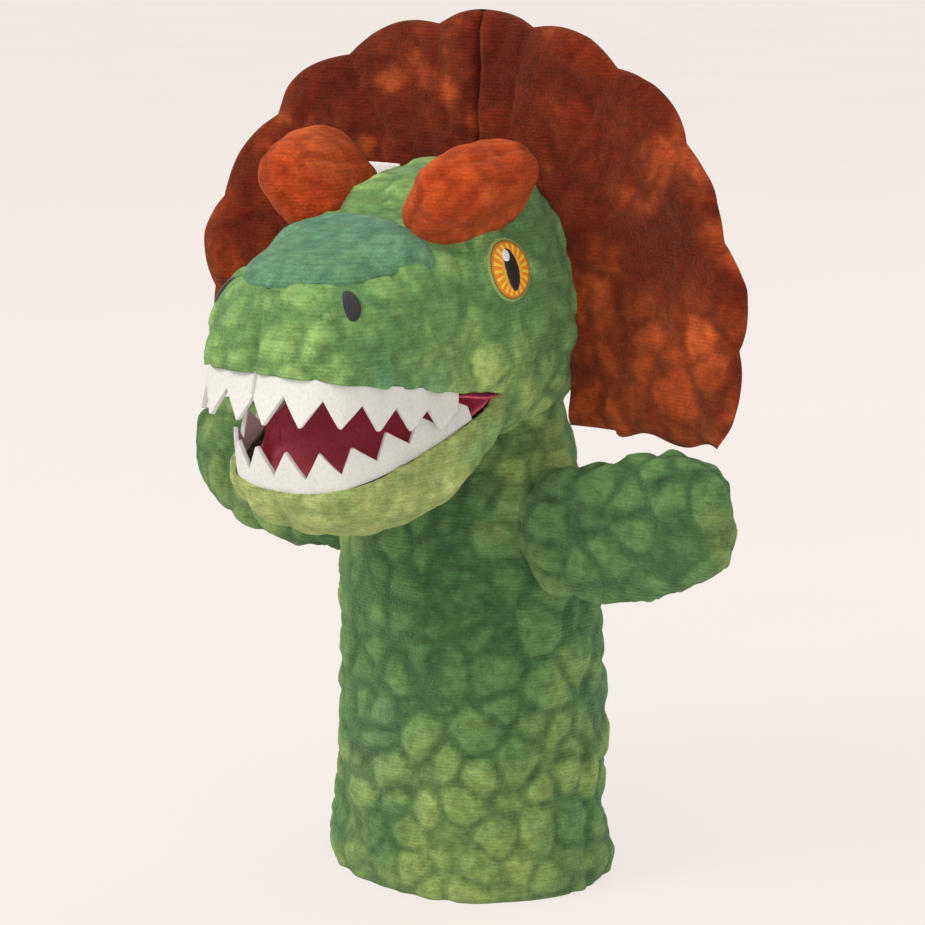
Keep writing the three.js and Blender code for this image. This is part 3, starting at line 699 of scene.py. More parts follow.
def felt_material():
    """Thick white felt with matted fibres."""
    name = "felt_white"
    if name in bpy.data.materials:
        return bpy.data.materials[name]
    colours = bpy.context.scene.puppet_colours
    material, tree, shader, place = bare(name)
    fibre = cloudy(tree, place, 900, 5, 0.75)
    lump = cloudy(tree, place, 190, 3, 0.6)
    dull, fresh = lit(colours.felt, 0.92), lit(colours.felt, 1.04)
    tint = mixed(tree, spread(tree, fibre, 0.3, 0.62), dull, fresh)
    tint = mixed(tree, spread(tree, lump, 0.3, 0.7, 0.0, 0.16), tint, (0.55, 0.55, 0.51, 1))
    tree.links.new(tint, shader.inputs["Base Color"])
    height = maths(tree, "ADD", fibre, maths(tree, "MULTIPLY", lump, 1.6))
    bumped(tree, shader, height, 0.0008, 0.6)
    set_cloth(shader, 0.95, 0.35, (1, 1, 1, 1), 0.1)
    return material


def thread_material(name, value, gloss=0.5):
    """Close satin stitches in one colour."""
    if name in bpy.data.materials:
        return bpy.data.materials[name]
    material, tree, shader, place = bare(name)
    stitches = add(
        tree,
        "ShaderNodeTexWave",
        {"Vector": place, "Scale": 620.0, "Distortion": 1.2, "Detail": 1.0},
        bands_direction="Z",
    ).outputs["Fac"]
    tint = mixed(tree, spread(tree, stitches, 0.0, 1.0), lit(value, 0.6), lit(value, 1.2))
    tree.links.new(tint, shader.inputs["Base Color"])
    bumped(tree, shader, stitches, 0.0003, 0.6)
    set_cloth(shader, gloss, 0.15, (1, 1, 1, 1), 0.4)
    return material


def iris_material():
    """An embroidered iris: radial stitches in two colours inside a deeper rim."""
    name = "iris_thread"
    if name in bpy.data.materials:
        return bpy.data.materials[name]
    colours = bpy.context.scene.puppet_colours
    material, tree, shader, _ = bare(name)
    plan = add(tree, "ShaderNodeUVMap", uv_map="eye_plan").outputs[0]
    centred = add(tree, "ShaderNodeMapping", {"Vector": plan, "Location": (-0.5, -0.5, 0)})
    split = add(tree, "ShaderNodeSeparateXYZ", {0: centred.outputs[0]})
    x, y = split.outputs[0], split.outputs[1]
    turn = maths(tree, "ARCTAN2", y, x)
    squares = maths(tree, "ADD", maths(tree, "MULTIPLY", x, x), maths(tree, "MULTIPLY", y, y))
    radius = maths(tree, "MULTIPLY", maths(tree, "SQRT", squares), 2.0)
    rays = maths(tree, "SINE", maths(tree, "MULTIPLY", turn, 19.0))
    fine = maths(tree, "SINE", maths(tree, "MULTIPLY", turn, 74.0))
    ray = spread(tree, rays, 0.1, 0.5)
    near_rim = spread(tree, radius, 0.42, 0.6)
    past = spread(tree, radius, 0.86, 0.9, 1.0, 0.0)
    ray = maths(tree, "MULTIPLY", maths(tree, "MULTIPLY", ray, near_rim), past)
    glow = spread(tree, radius, 0.3, 0.62)
    tint = mixed(tree, glow, lit(colours.honey, 1.0), lit(colours.iris, 1))
    tint = mixed(tree, ray, tint, lit(colours.honey, 1.05))
    tint = mixed(tree, spread(tree, radius, 0.87, 0.9), tint, lit(colours.iris, 0.75))
    tint = mixed(tree, spread(tree, radius, 0.955, 0.975), tint, (0.1, 0.11, 0.012, 1))
    shade = spread(tree, fine, -1.0, 1.0, 0.82, 1.08)
    tree.links.new(shaded(tree, tint, shade), shader.inputs["Base Color"])
    bumped(tree, shader, fine, 0.0003, 0.5)
    set_cloth(shader, 0.5, 0.1, (1, 0.9, 0.6, 1), 0.4)
    return material


def blended(one, two, share):
    return tuple(a + (b - a) * share for a, b in zip(tuple(one)[:3], tuple(two)[:3]))


def green_plush(name, gain=1.0, bright_share=0.1, accent_share=0.06, patch=16.0, faded=0.0):
    c = bpy.context.scene.puppet_colours
    return plush(
        name, lit(blended(c.moss, c.leaf, faded), gain), lit(c.leaf, gain),
        lit(c.meadow, gain), lit(c.lagoon, gain), bright_share, accent_share,
        (0.55, 0.85, 0.45, 1), patch=patch,
    )


# ---- Pieces ---------------------------------------------------------------------------
#
# A relief is in millimetres, outwards, in the piece's own frame: mound(distance, width) is a
# seam or a fold along a line, and smooth(from, to, place) says where it fades in or out.


def sleeve_folds(point):
    """Soft folds of the hanging sleeve, in millimetres."""
    slack = smooth(4, 30, point.z) * (1 - 0.35 * smooth(90, 140, point.z))
    broad = noise.noise(Vector((point.x / 34, point.y / 34, point.z / 46)) + Vector((3, 7, 1)))
    fine = noise.noise(Vector((point.x / 15, point.y / 15, point.z / 22)) + Vector((9, 2, 5)))
    drawn = mound(point.z - 108 - 0.42 * abs(point.x), 5.0) * smooth(8, 40, abs(point.x))
    return slack * (3.0 * broad + 1.2 * fine) - 1.6 * drawn * (point.y < 0)


def side_seam(point, width=2.2):
    """The sewn dip along both sides."""
    return -1.5 * mound(point.y, width) if abs(point.x) > 20 else 0.0


def sew_sleeve():
    sizes = bpy.context.scene.puppet_sizes
    form = tubed(SLEEVE, 176, 1.8)

    def relief(point):
        inside, _ = scale_at(point * MM, sizes.scale_size)
        low = 1 - smooth(0, 9, point.z)
        return (
            sleeve_folds(point)
            + side_seam(point)
            + (inside - 0.5) * sizes.scale_relief / MM
            - 1.5 * low * low
            - 2.2 * smooth(140, 150, point.z)
            - 0.9 * mound(point.z - HEM - 1, 1.6)
        )

    pressed(form, relief)

    # Yellow-green mixed in towards the bottom, in patches, and up the side at negative x.
    def print_and_painted_light(point):
        low = 0.75 * smooth(80, 34, point.z) * smooth(0.62, 0.4, abs(noise.noise(point / 40)) + 0.2)
        side = 0.5 * smooth(-20, -44, point.x) * smooth(30, 80, point.z)
        return min(1.0, low + side)

    cover = finished(form, "sleeve_cover", None, sizes.scale_size, PLUSH, print_and_painted_light)
    material = green_plush("leaf_plush_body", 1.0, 0.12, 0.05)
    sew_on(
        cover, None, "green", material, "sleeve_front_panel", "sleeve_back_panel",
        "neck_front_panel", "neck_back_panel",
    )
    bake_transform(cover)

    rows = [(z, w - PLUSH - 0.2, d - PLUSH - 0.2) for z, w, d in SLEEVE]
    band_rows = [along_height(rows, 0.4), along_height(rows, 8), along_height(rows, HEM)]
    band = tubed(band_rows, 120, 1.8)
    pressed(band, lambda p: sleeve_folds(p) * 0.9 + 0.25 * noise.noise(p / 6))
    hem = finished(band, "sleeve_hem_turned_in", None, sizes.scale_size, HEM_ROLL)
    sew_on(hem, "sleeve", "green", material, "sleeve_hem_band")

    lining_rows = [along_height(rows, z) for z in (16, 40, 70, 108, 124, 134)]
    inner = tubed(lining_rows, 110, 2.4, 0.5)
    pressed(inner, lambda p: sleeve_folds(p) - 1.0 - 1.4 * smooth(-0.1, 0.5, noise.noise(p / 17)))
    lining = finished(inner, "sleeve_lining_cloth", None, None, 0.8)
    cloth = woven("lining_green", (0.03, 0.09, 0.035), (0.02, 0.06, 0.025), 0.2)
    sew_on(lining, "sleeve", "lining", cloth, "sleeve_lining")


def along_height(rows, height):
    """The [height, half width, half depth] row at a height between a tube's rows."""
    _, wide, deep = at_forward(rows, height)
    return (height, wide, deep)


def sew_collar():
    sizes = bpy.context.scene.puppet_sizes
    form = tubed(COLLAR, 150, 1.8)

    def relief(point):
        inside, _ = scale_at(point * MM, sizes.scale_size)
        gather = math.sin(26 * math.atan2(point.y, point.x)) * 0.35
        return sleeve_folds(point) * 0.6 + (inside - 0.5) * 1.2 + gather - 0.4

    pressed(form, relief)
    collar = finished(form, "neck_collar", None, sizes.scale_size, PLUSH)
    sew_on(collar, None, "green", green_plush("leaf_plush_body"))
    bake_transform(collar)


def eye_hollow(point):
    """1 on the eye's patch, where the skin is kept even."""
    reach = math.hypot(
        (-point.y - EYE["forward"]) / (EYE["half_width"] + 1.5),
        (point.z - EYE["height"]) / (EYE["half_height"] + 1.5),
    )
    near = 1 - smooth(0.95, 1.25, reach)
    return near if abs(point.x) > 20 else 0.0


def nostril_hollow(point):
    """1 on the nostril's patch, where the skin is kept even."""
    reach = math.hypot(-point.y - NOSTRIL["forward"], point.z - NOSTRIL["height"])
    return 1 - smooth(4, 8, reach) if abs(point.x) > 12 else 0.0


def head_relief(point):
    """Seams, folds and puffs of the head's skin, in its own frame, in millimetres."""
    sizes = bpy.context.scene.puppet_sizes
    forward, side, high = -point.y, abs(point.x), point.z
    inside, _ = scale_at(HEAD_FRAME @ point * MM, sizes.scale_size)
    calm = max(eye_hollow(point), nostril_hollow(point))
    depth = (inside - 0.5) * 0.8 * sizes.scale_relief / MM
    depth += 1.7 * noise.noise(point / 19 + Vector((5, 1, 2)))
    front_seam = mound(point.x, 1.3) * smooth(56, 66, forward)
    crown_seam = mound(side - CROWN_HALF_WIDTH, 1.3) * smooth(38, 46, high)
    crown_seam *= 1 - smooth(30, 36, forward)
    forehead = mound(forward - RIDGE_START + 3.5 + 0.004 * point.x**2, 2.6)
    forehead *= smooth(30, 40, high) * (1 - smooth(26, 36, side))
    brow = mound(forward - 27 - 0.2 * (high - 40), 3.2) * smooth(4, 18, high) * smooth(24, 34, side)
    brow *= 1 - smooth(50, 58, high)
    gathers = math.sin(forward / 1.75 + 0.7 * math.sin(high / 5)) * smooth(18, 3, high)
    gathers *= smooth(8, 24, forward) * (high > -2)
    lip = 0.9 * mound(high - 3.2, 2.6) * smooth(2, 10, forward)
    depth += -1.1 * front_seam - 0.9 * crown_seam - 1.9 * forehead - 2.3 * brow
    depth += 0.85 * gathers + lip
    cheek_seam = mound(high - 5 - 0.06 * forward, 1.3)
    cheek_seam *= smooth(4, -4, forward) * smooth(-46, -30, forward)
    depth -= 1.4 * cheek_seam
    tuck = smooth(-14, 0, forward) * (1 - smooth(-1, 8, high)) if forward < 0.5 else 0.0
    return depth * (1 - calm) - 2.0 * tuck


def near_neck(point):
    """True inside the neck's opening, seen from below."""
    world = HEAD_FRAME @ point
    ring = (world.x / 34) ** 2 + ((world.y + 1) / 25) ** 2
    return ring < 1 and world.z < 185


def ridge_side(point):
    """Distance over the sloping edge of the snout's ridge."""
    slope = math.radians(RIDGE_DROP)
    return (-point.y - RIDGE_START) * math.sin(slope) + (point.z - RIDGE_EDGE) * math.cos(slope)


def sew_head():
    sizes = bpy.context.scene.puppet_sizes
    form = lofted(HEAD, 168, 116)
    cut(form, (0, 0, 0), (0, -1, 0))
    cut(form, (0, 0, 0), (0, 0, -1))
    take_away(form, lambda p: p.z < 0 and p.y < 0)
    take_away(form, near_neck)
    pressed(form, head_relief)

    # Brighter yellow-green on the cheek round the mouth's corner, partly its lime print and partly
    # a painted highlight; also on the front of the snout and the top of the crown.
    def print_and_painted_light(point):
        own = HEAD_FRAME.inverted() @ point
        cheek = smooth(9, 3, own.z) * smooth(30, 4, -own.y) * smooth(-52, -24, -own.y)
        around = smooth(30, 4, own.z) * smooth(52, 20, -own.y) * smooth(-40, -12, -own.y)
        cheek = max(cheek, 0.5 * around)
        snout = 0.4 * smooth(60, 78, -own.y) * smooth(34, 16, own.z)
        crown = 0.45 * smooth(52, 66, own.z) * smooth(10, 24, -own.y)
        return min(1.0, 0.95 * cheek + snout + crown)

    skin = finished(form, "head_skin", HEAD_FRAME, sizes.scale_size, PLUSH, print_and_painted_light)
    sew_on(
        skin, "head", "green", green_plush("leaf_plush_head", 1.5, 0.17, 0.03, 18.0, 0.35),
        "head_left_panel", "head_right_panel", "crown_panel", "head_back_panel",
        "head_stuffing",
    )


def sew_ridge():
    sizes = bpy.context.scene.puppet_sizes
    form = lofted(HEAD, 150, 132)
    slope = math.radians(RIDGE_DROP)
    cut(form, (0, -RIDGE_START, RIDGE_EDGE), (0, math.sin(slope), -math.cos(slope)), True)
    cut(form, (0, -RIDGE_START, 0), (0, 1, 0), True)

    def relief(point):
        edge = min(ridge_side(point), -point.y - RIDGE_START)
        puff = math.sqrt(min(1.0, max(0.0, edge / 6)))
        soft = 0.5 * noise.noise(point / 12) + 0.25 * noise.noise(point / 5)
        return -1.2 + (RIDGE_PUFF + 1.6 * smooth(52, 74, -point.y)) * puff + soft * puff

    pressed(form, relief)
    ridge = finished(form, "snout_ridge_pad", HEAD_FRAME, sizes.scale_size * 1.3, PLUSH)
    material = plush(
        "lagoon_plush_ridge", (0.07, 0.2, 0.105, 1), (0.125, 0.3, 0.155, 1),
        (0.12, 0.26, 0.08, 1), (0.14, 0.31, 0.19, 1), 0.14, 0.14, (0.6, 0.9, 0.7, 1),
        patch=30.0,
    )
    sew_on(ridge, "head", "teal", material, "snout_ridge")


def jaw_relief(point):
    sizes = bpy.context.scene.puppet_sizes
    forward, high = -point.y, point.z
    inside, _ = scale_at(JAW_FRAME @ point * MM, sizes.scale_size)
    depth = (inside - 0.5) * 0.7 * sizes.scale_relief / MM
    depth += 1.0 * noise.noise(point / 19 + Vector((2, 8, 4)))
    depth -= 0.8 * mound(point.x, 1.4) * smooth(40, 60, forward)
    depth += 0.7 * mound(high + 3.0, 2.4) * smooth(2, 10, forward)
    gathers = math.sin(forward / 2.1 + point.x / 9) * smooth(-16, -4, high)
    return depth + 0.2 * gathers


def sew_jaw():
    sizes = bpy.context.scene.puppet_sizes
    form = lofted(JAW, 150, 100)
    cut(form, (0, 0, 0), (0, 0, 1), True)
    pressed(form, jaw_relief)
    skin = finished(form, "chin_skin", JAW_FRAME, sizes.scale_size, PLUSH)
    c = bpy.context.scene.puppet_colours
    material = plush(
        "meadow_plush_chin", lit(blended(c.leaf, c.chin, 0.45), 1.0), lit(c.chin, 0.95),
        lit(c.chin, 1.2), lit(c.leaf, 1.8), 0.14, 0.1, (0.9, 0.95, 0.5, 1), patch=22.0,
    )
    sew_on(skin, None, "lime", material, "chin_panel", "jaw_stuffing")
    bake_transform(skin)


def line_mouth():
    """The wine lining runs from the upper lip back to the fold and out to the lower lip."""

    def place(u, v):
        side = 2 * u - 1
        upper = v < 0.5
        share = abs(v - 0.5) * 2
        rows, matrix = (HEAD, HEAD_FRAME) if upper else (JAW, JAW_FRAME)
        reach = (PALATE_REACH if upper else FLOOR_REACH) * share
        inset = LINING_INSET if upper else FLOOR_INSET
        rounding = 0.55 + 0.45 * smooth(0.0, 0.75, math.cos(side * math.pi / 2 * 0.96))
        forward = reach * (1 - (1 - rounding) * min(1.0, share / 0.75) ** 3)
        wide = max(half_width_at(rows, forward, 0.0 if upper else -1.0) - inset, 1.0)
        if not upper:
            wide = min(wide, FLOOR_HALF_WIDTH)
        x = wide * side
        edge = min((1 - abs(side)) * wide, (1 - share) * reach)
        away = smooth(0, 9, edge)
        if upper:
            level = forward * math.tan(math.radians(PALATE_RISE)) + 1.2
            level = level * away - UPPER_LIP_DROP * (1 - away)
        else:
            level = -forward * math.tan(math.radians(FLOOR_DROP)) - 2.6
            level = level * away - 0.4 * (1 - away)
        near = smooth(0.0, 7.0, forward)
        level = level * near
        ripple = 0.5 * noise.noise(Vector((x / 13, forward / 15, 3 if upper else 9))) * near
        backward = 3.0 * (1 - smooth(0.0, 5.0, forward))
        return matrix @ Vector((x, -forward + backward, level + ripple))

    form = gridded(72, 120, place)
    bmesh.ops.recalc_face_normals(form, faces=form.faces)
    lining = finished(form, "mouth_lining", None, None, 0.8)
    wine = tuple(bpy.context.scene.puppet_colours.wine)
    cloth = woven("wine_satin", wine, (0.5, 0.075, 0.12), 0.25, 0.55)
    sew_on(lining, None, "wine", cloth, "palate_lining", "mouth_floor_lining")
    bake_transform(lining)


def lip_line(rows, level, inset):
    """Points round the lip from the front to one side, with their outward directions."""
    plan = []
    count = 400
    for i in range(count + 1):
        forward = along(rows, 1 - i / count)[0]
        if forward < -3:
            break
        plan.append(Vector((half_width_at(rows, forward, level), forward)))
    plan[0].x = 0
    lengths = [0.0]
    for a, b in zip(plan, plan[1:]):
        lengths.append(lengths[-1] + (b - a).length)

    def at(distance):
        distance = min(abs(distance), lengths[-1] - 1e-6)
        i = next(k for k in range(1, len(lengths)) if lengths[k] >= distance)
        a, b = plan[max(0, i - 4)], plan[min(len(plan) - 1, i + 3)]
        share = (distance - lengths[i - 1]) / max(lengths[i] - lengths[i - 1], 1e-9)
        point = plan[i - 1].lerp(plan[i], share)
        run = (b - a).normalized()
        out = Vector((-run.y, run.x))
        if out.dot(Vector((point.x, point.y * 0.3))) < 0:
            out = -out
        if distance < 1.5:
            out = out.lerp(Vector((0, 1)), 1 - distance / 1.5).normalized()
        return point - out * inset, out

    return at


def felt_strip(name, rows, strip, direction, matrix, body, node):
    """One felt strip: a band along the lip with six teeth to each side."""
    edge = TEETH_PER_SIDE * TOOTH_PITCH
    lip = lip_line(rows, 0.0, strip["inset"])
    per_tooth = 16

    def place(u, v):
        run = (2 * u - 1) * edge
        step = abs(run) / TOOTH_PITCH
        number = min(int(step), TEETH_PER_SIDE - 1)
        seed = number + (17 if run < 0 else 3) + (40 if direction > 0 else 0)
        wobble = noise.noise(Vector((seed * 1.7, 2.3, 0.4)))
        fall = 1 - (1 - BACK_TOOTH_SHARE) * abs(run) / edge
        peak = 0.5 + 0.08 * wobble
        within = step - number
        point = within / peak if within < peak else (1 - within) / (1 - peak)
        point = min(1.0, max(0.0, point))
        depth = strip["band"] + strip["tooth"] * fall * (1 + 0.1 * wobble) * point
        point_on, out = lip(run)
        side = -1 if run < 0 else 1
        lean = strip["lean"] * depth * v + 0.35 * math.sin(run / 9) * v
        at = point_on + out * (lean + FELT / 2)
        return Vector((side * at.x, -at.y, direction * (depth * v - STRIP_TUCK)))

    form = gridded(2 * TEETH_PER_SIDE * per_tooth, 12, place)
    bmesh.ops.recalc_face_normals(form, faces=form.faces)
    felt = finished(form, name, matrix, None, None)
    wall = felt.modifiers.new("Felt thickness", "SOLIDIFY")
    wall.thickness = FELT * MM
    wall.offset = 0
    edge_roll = felt.modifiers.new("Soft edge", "BEVEL")
    edge_roll.width = 0.4 * MM
    edge_roll.segments = 2
    edge_roll.limit_method = "ANGLE"
    edge_roll.angle_limit = math.radians(50)
    sew_on(felt, body, "felt", felt_material(), node)


def cut_teeth():
    felt_strip("upper_teeth_felt", HEAD, UPPER_STRIP, -1, HEAD_FRAME, "head", "upper_teeth")
    felt_strip("lower_teeth_felt", JAW, LOWER_STRIP, 1, JAW_FRAME, "lower_jaw", "lower_teeth")


def embroidered(name, spot, side, base, proud, material, slot_name, node):
    """An oval of close stitches lying on the head's skin, domed at its edge."""
    form = bmesh.new()
    bmesh.ops.create_uvsphere(form, u_segments=64, v_segments=24, radius=1)
    tilt = math.radians(spot.get("tilt", 0))
    plan = {}
    for vertex in form.verts:
        a, b = vertex.co.x, vertex.co.y
        reach = math.hypot(a, b)
        top = vertex.co.z >= 0
        fore, up = a * spot["half_width"], b * spot["half_height"]
        forward = spot["forward"] + fore * math.cos(tilt) + up * math.sin(tilt)
        height = spot["height"] - fore * math.sin(tilt) + up * math.cos(tilt)
        wide = half_width_at(HEAD, forward, height)
        more = half_width_at(HEAD, forward + 1, height) - wide
        over = half_width_at(HEAD, forward, height + 1) - wide
        out = Vector((1, more, -over)).normalized()
        lift = base + (proud * (1 - reach**8) if top else -0.8)
        spot_on = Vector((wide, -forward, height)) + out * lift
        vertex.co = (side * spot_on.x, spot_on.y, spot_on.z)
        plan[vertex.index] = (0.5 + a / 2, 0.5 + b / 2)
    form.verts.index_update()
    layer = form.loops.layers.uv.new("eye_plan")
    for face in form.faces:
        for loop in face.loops:
            loop[layer].uv = plan[loop.vert.index]
    facing_out(form)
    piece = finished(form, name, HEAD_FRAME)
    return sew_on(piece, "head", slot_name, material, node)


def embroider_face():
    c = bpy.context.scene.puppet_colours
    black = thread_material("black_thread", (0.012, 0.012, 0.014), 0.45)
    white = thread_material("white_thread", (0.85, 0.85, 0.85), 0.5)
    rim = thread_material("rim_thread", lit(c.meadow, 1.1), 0.6)
    around = dict(EYE, half_width=EYE["half_width"] + 0.9, half_height=EYE["half_height"] + 0.9)
    slit = dict(EYE, half_width=3.3, half_height=7.0)
    spark = {
        "forward": EYE["forward"] + 2.6,
        "height": EYE["height"] + 4.2,
        "half_width": 1.5,
        "half_height": 1.9,
    }
    for name, side in (("left", 1), ("right", -1)):
        layers = (
            ("edge", around, 0.1, 0.5, rim, "lime", "iris"),
            ("iris_stitches", EYE, 0.45, 0.6, iris_material(), "iris", "iris"),
            ("pupil_stitches", slit, 0.9, 0.6, black, "black", "pupil"),
            ("glint_stitches", spark, 1.4, 0.4, white, "white", "glint"),
        )
        for layer, spot, base, proud, thread, slot_name, node in layers:
            piece = embroidered(
                f"{name}_eye_{layer}", spot, side, base, proud, thread, slot_name,
                f"{name}_eye_{node}",
            )
            piece["part_of"] = f"{name}_eye"
        nostril = f"{name}_nostril"
        embroidered(f"{nostril}_stitches", NOSTRIL, side, 0.2, 0.8, black, "black", nostril)


def crest_frame(side):
    """Where a crest sits, in the head's frame, with its length along X."""
    frame_matrix = Matrix.Translation((side * CREST["side"], -CREST["forward"], CREST["height"]))
    frame_matrix = frame_matrix @ turned("X", CREST["pitch"]) @ turned("Z", -side * CREST["toe"])
    return frame_matrix @ turned("Y", side * CREST["lean"]) @ turned("Z", side * 90)


def stuff_crests():
    sizes = bpy.context.scene.puppet_sizes
    c = bpy.context.scene.puppet_colours
    material = plush(
        "ember_plush_crest", lit(c.rust, 1.7), (0.52, 0.068, 0.01, 1), (0.66, 0.115, 0.022, 1),
        (0.38, 0.04, 0.007, 1), 0.12, 0.08, (1.0, 0.5, 0.2, 1), 0.2, 34.0,
    )
    for name, side in (("left", 1), ("right", -1)):
        matrix = HEAD_FRAME @ crest_frame(side)

        def outline(turn):
            c, s = math.cos(turn), math.sin(turn)
            bean = 1 + CREST["bean"] * math.cos(2 * turn)
            return (
                0,
                CREST["rise"] / 2 - CREST["sunk"],
                CREST["length"] / 2 * signed_power(c, CREST["squareness"]) * bean,
                CREST["rise"] / 2 * signed_power(s, CREST["squareness"]),
            )

        form = cushioned(96, 56, outline, lambda turn, reach: CREST["thickness"] / 2)

        def relief(point):
            crease = mound(point.z - 6 - 0.35 * point.x, 2.0) * smooth(22, 4, abs(point.x))
            return (
                0.9 * noise.noise(point / 10 + Vector((side, 3, 2)))
                + 0.4 * noise.noise(point / 4.5)
                - 0.9 * crease
                - 0.9 * mound(point.y, 1.0)
            )

        print_size = sizes.scale_size * CREST["print_share"]
        lobe = stuffed(form, f"{name}_crest", matrix, 0.0026, 0.003, relief, print_size)
        sew_on(
            lobe, None, "rust", material, f"{name}_crest_outer_panel",
            f"{name}_crest_inner_panel", f"{name}_crest_stuffing",
        )
        out = HEAD_FRAME.to_3x3() @ (
            turned("X", CREST["pitch"]) @ turned("Y", side * CREST["seat"]) @ Vector((0, 0, 1))
        )
        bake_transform(lobe)


def stuff_arms():
    sizes = bpy.context.scene.puppet_sizes
    for name, side in (("left", 1), ("right", -1)):
        matrix = Matrix.Translation((side * ARM["seam"], -ARM["forward"], ARM["height"]))
        matrix = matrix @ turned("Y", -side * ARM_RAISE[side])
        if side < 0:
            matrix = matrix @ turned("Z", 180)
        middle = ARM["length"] * ARM["middle_share"]

        def outline(turn):
            c, s = math.cos(turn), math.sin(turn)
            share = (c + 1) / 2
            half = ARM["root"] + (ARM["tip"] - ARM["root"]) * share
            reach = ARM["length"] - middle if c > 0 else middle + ARM["inside"]
            x = reach * signed_power(c, ARM["squareness"])
            return (middle, 0, x, half * signed_power(s, ARM["squareness"]))

        form = cushioned(128, 72, outline, lambda turn, reach: ARM["thickness"] / 2)
        for vertex in form.verts:
            vertex.co.y *= 1 + ARM["root_puff"] * (1 - smooth(-6, 34, vertex.co.x))
            vertex.co.z += ARM["tip_lift"] * smooth(12, 78, vertex.co.x)

        def relief(point):
            world = matrix @ point * MM
            inside, _ = scale_at(world, sizes.scale_size)
            sewn = mound(point.y, 1.2) * smooth(0, 14, point.x)
            root = mound(point.x - 3, 2.4)
            pulls = math.sin(point.z / 2.6 + point.x / 8) * mound(point.x - 12, 10) * 0.6
            return (
                (inside - 0.5) * sizes.scale_relief / MM
                + 1.5 * noise.noise(point / 17 + Vector((side * 3, 1, 6)))
                + 0.6 * noise.noise(point / 8)
                - 1.2 * sewn
                - 1.5 * root
                + pulls
            )

        mitt = stuffed(form, f"{name}_arm", matrix, 0.003, 0.004, relief, sizes.scale_size)
        sew_on(
            mitt, None, "green", green_plush("leaf_plush_arm", 0.95, 0.08, 0.05, 20.0),
            f"{name}_arm_front_panel", f"{name}_arm_back_panel", f"{name}_arm_stuffing",
        )
        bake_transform(mitt)


def frill_outline(share):
    """The scalloped outer edge, from the top of the fan round to its lower corner."""
    dip = math.asin((FRILL["centre"] - FRILL["bottom"]) / FRILL["rise"])
    turn = math.pi / 2 - share * (math.pi / 2 + dip)
    wave = abs(math.cos((share / 2) * FRILL["scallops"] * math.pi))
    inset = FRILL["dip"] * (1 - wave)
    return Vector(
        (
            (FRILL["half_width"] - inset) * math.cos(turn),
            FRILL["centre"] + (FRILL["rise"] - inset) * math.sin(turn),
        )
    )


def frill_root(share):
    """Where the fan starts, hidden behind the head."""
    for a, b in zip(FRILL_ROOT, FRILL_ROOT[1:]):
        if share <= b[0]:
            part = (share - a[0]) / (b[0] - a[0])
            return Vector((a[1] + (b[1] - a[1]) * part, a[2] + (b[2] - a[2]) * part))
    return Vector(FRILL_ROOT[-1][1:])


def quilt_frill():
    sizes = bpy.context.scene.puppet_sizes
    print_size = sizes.scale_size * FRILL["print_share"]
    c = bpy.context.scene.puppet_colours
    material = plush(
        "rust_plush_frill", lit(blended(c.maroon, c.rust, 0.3), 1.0), lit(c.rust, 1.0),
        lit(c.ember, 0.9), lit(c.maroon, 1.3), 0.1, 0.22, (1.0, 0.45, 0.2, 1), 0.16, 26.0,
    )
    for name, side in (("left", 1), ("right", -1)):

        def place(u, v):
            inner, outer = frill_root(u), frill_outline(u)
            plan = inner.lerp(outer, v)
            if u > 0.93 and v > 0.3:
                plan.y += 1.6 * math.sin(v * 15) * smooth(0.93, 1.0, u)
            past = max(0.0, plan.x - FRILL["fold_side"])
            bend = past * past / (past + 6) if past > 0 else 0.0
            tilt = math.radians(FRILL["sweep"])
            ripple = 2.2 * math.sin(u * FRILL["scallops"] * math.pi * 0.5 + side) * v * v
            ripple += 3.4 * math.sin(v * 9 + side * 0.8) * smooth(0.72, 1.0, u) * v
            ripple += 1.6 * noise.noise(Vector((plan.x / 30, plan.y / 30, side * 4.0)))
            x = plan.x - past + past * math.cos(tilt) if past > 0 else plan.x
            y = FRILL["back"] - bend * math.sin(tilt) + ripple * smooth(0, 12, plan.x)
            out = Vector((side * math.sin(tilt) * smooth(0, 20, past) * -0.6, -1, 0)).normalized()
            point = Vector((side * x, y, plan.y))
            near, _ = scale_at(point * MM, print_size)
            return point + out * (near - 0.5) * 0.5 * sizes.frill_relief / MM, out

        def depth(u, v):
            rim = min((1 - v) * 70, (1 - u) * 140, u * 200 + 5.0, v * 60 + 3) / 7
            round_rim = math.sqrt(min(1.0, max(0.0, rim)))
            rib = abs(math.cos((u / 2) * FRILL["scallops"] * math.pi))
            inner, outer = frill_root(u), frill_outline(u)
            plan = inner.lerp(outer, v)
            near, _ = scale_at(Vector((side * plan.x, 0, plan.y)) * MM, print_size)
            lines = 1 - 0.3 * mound(rib, 0.16) * smooth(0.35, 0.6, v)
            return (FRILL["thickness"] / 2) * round_rim * lines + 0.5 * near * round_rim

        form = quilted(110, 84, place, depth)

        # Painted light: brighter towards the bottom, where the frill curves forward into the light,
        # and in patches on its outer sides.
        def print_and_painted_light(point):
            cloud = 0.35 + 0.65 * smooth(-0.25, 0.3, noise.noise(point / 24))
            low = smooth(228, 172, point.z) * cloud
            out = 0.4 * smooth(84, 112, abs(point.x)) * smooth(-0.1, 0.4, noise.noise(point / 18))
            return min(1.0, 0.85 * low + out)

        half = finished(form, f"{name}_frill_half", None, print_size, None, print_and_painted_light)
        nodes = [f"frill_{name}_{layer}" for layer in ("front", "batting", "back")]
        if side > 0:
            nodes += [f"frill_centre_{layer}" for layer in ("front", "batting", "back")]
        sew_on(half, None, "rust", material, *nodes)
        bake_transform(half)


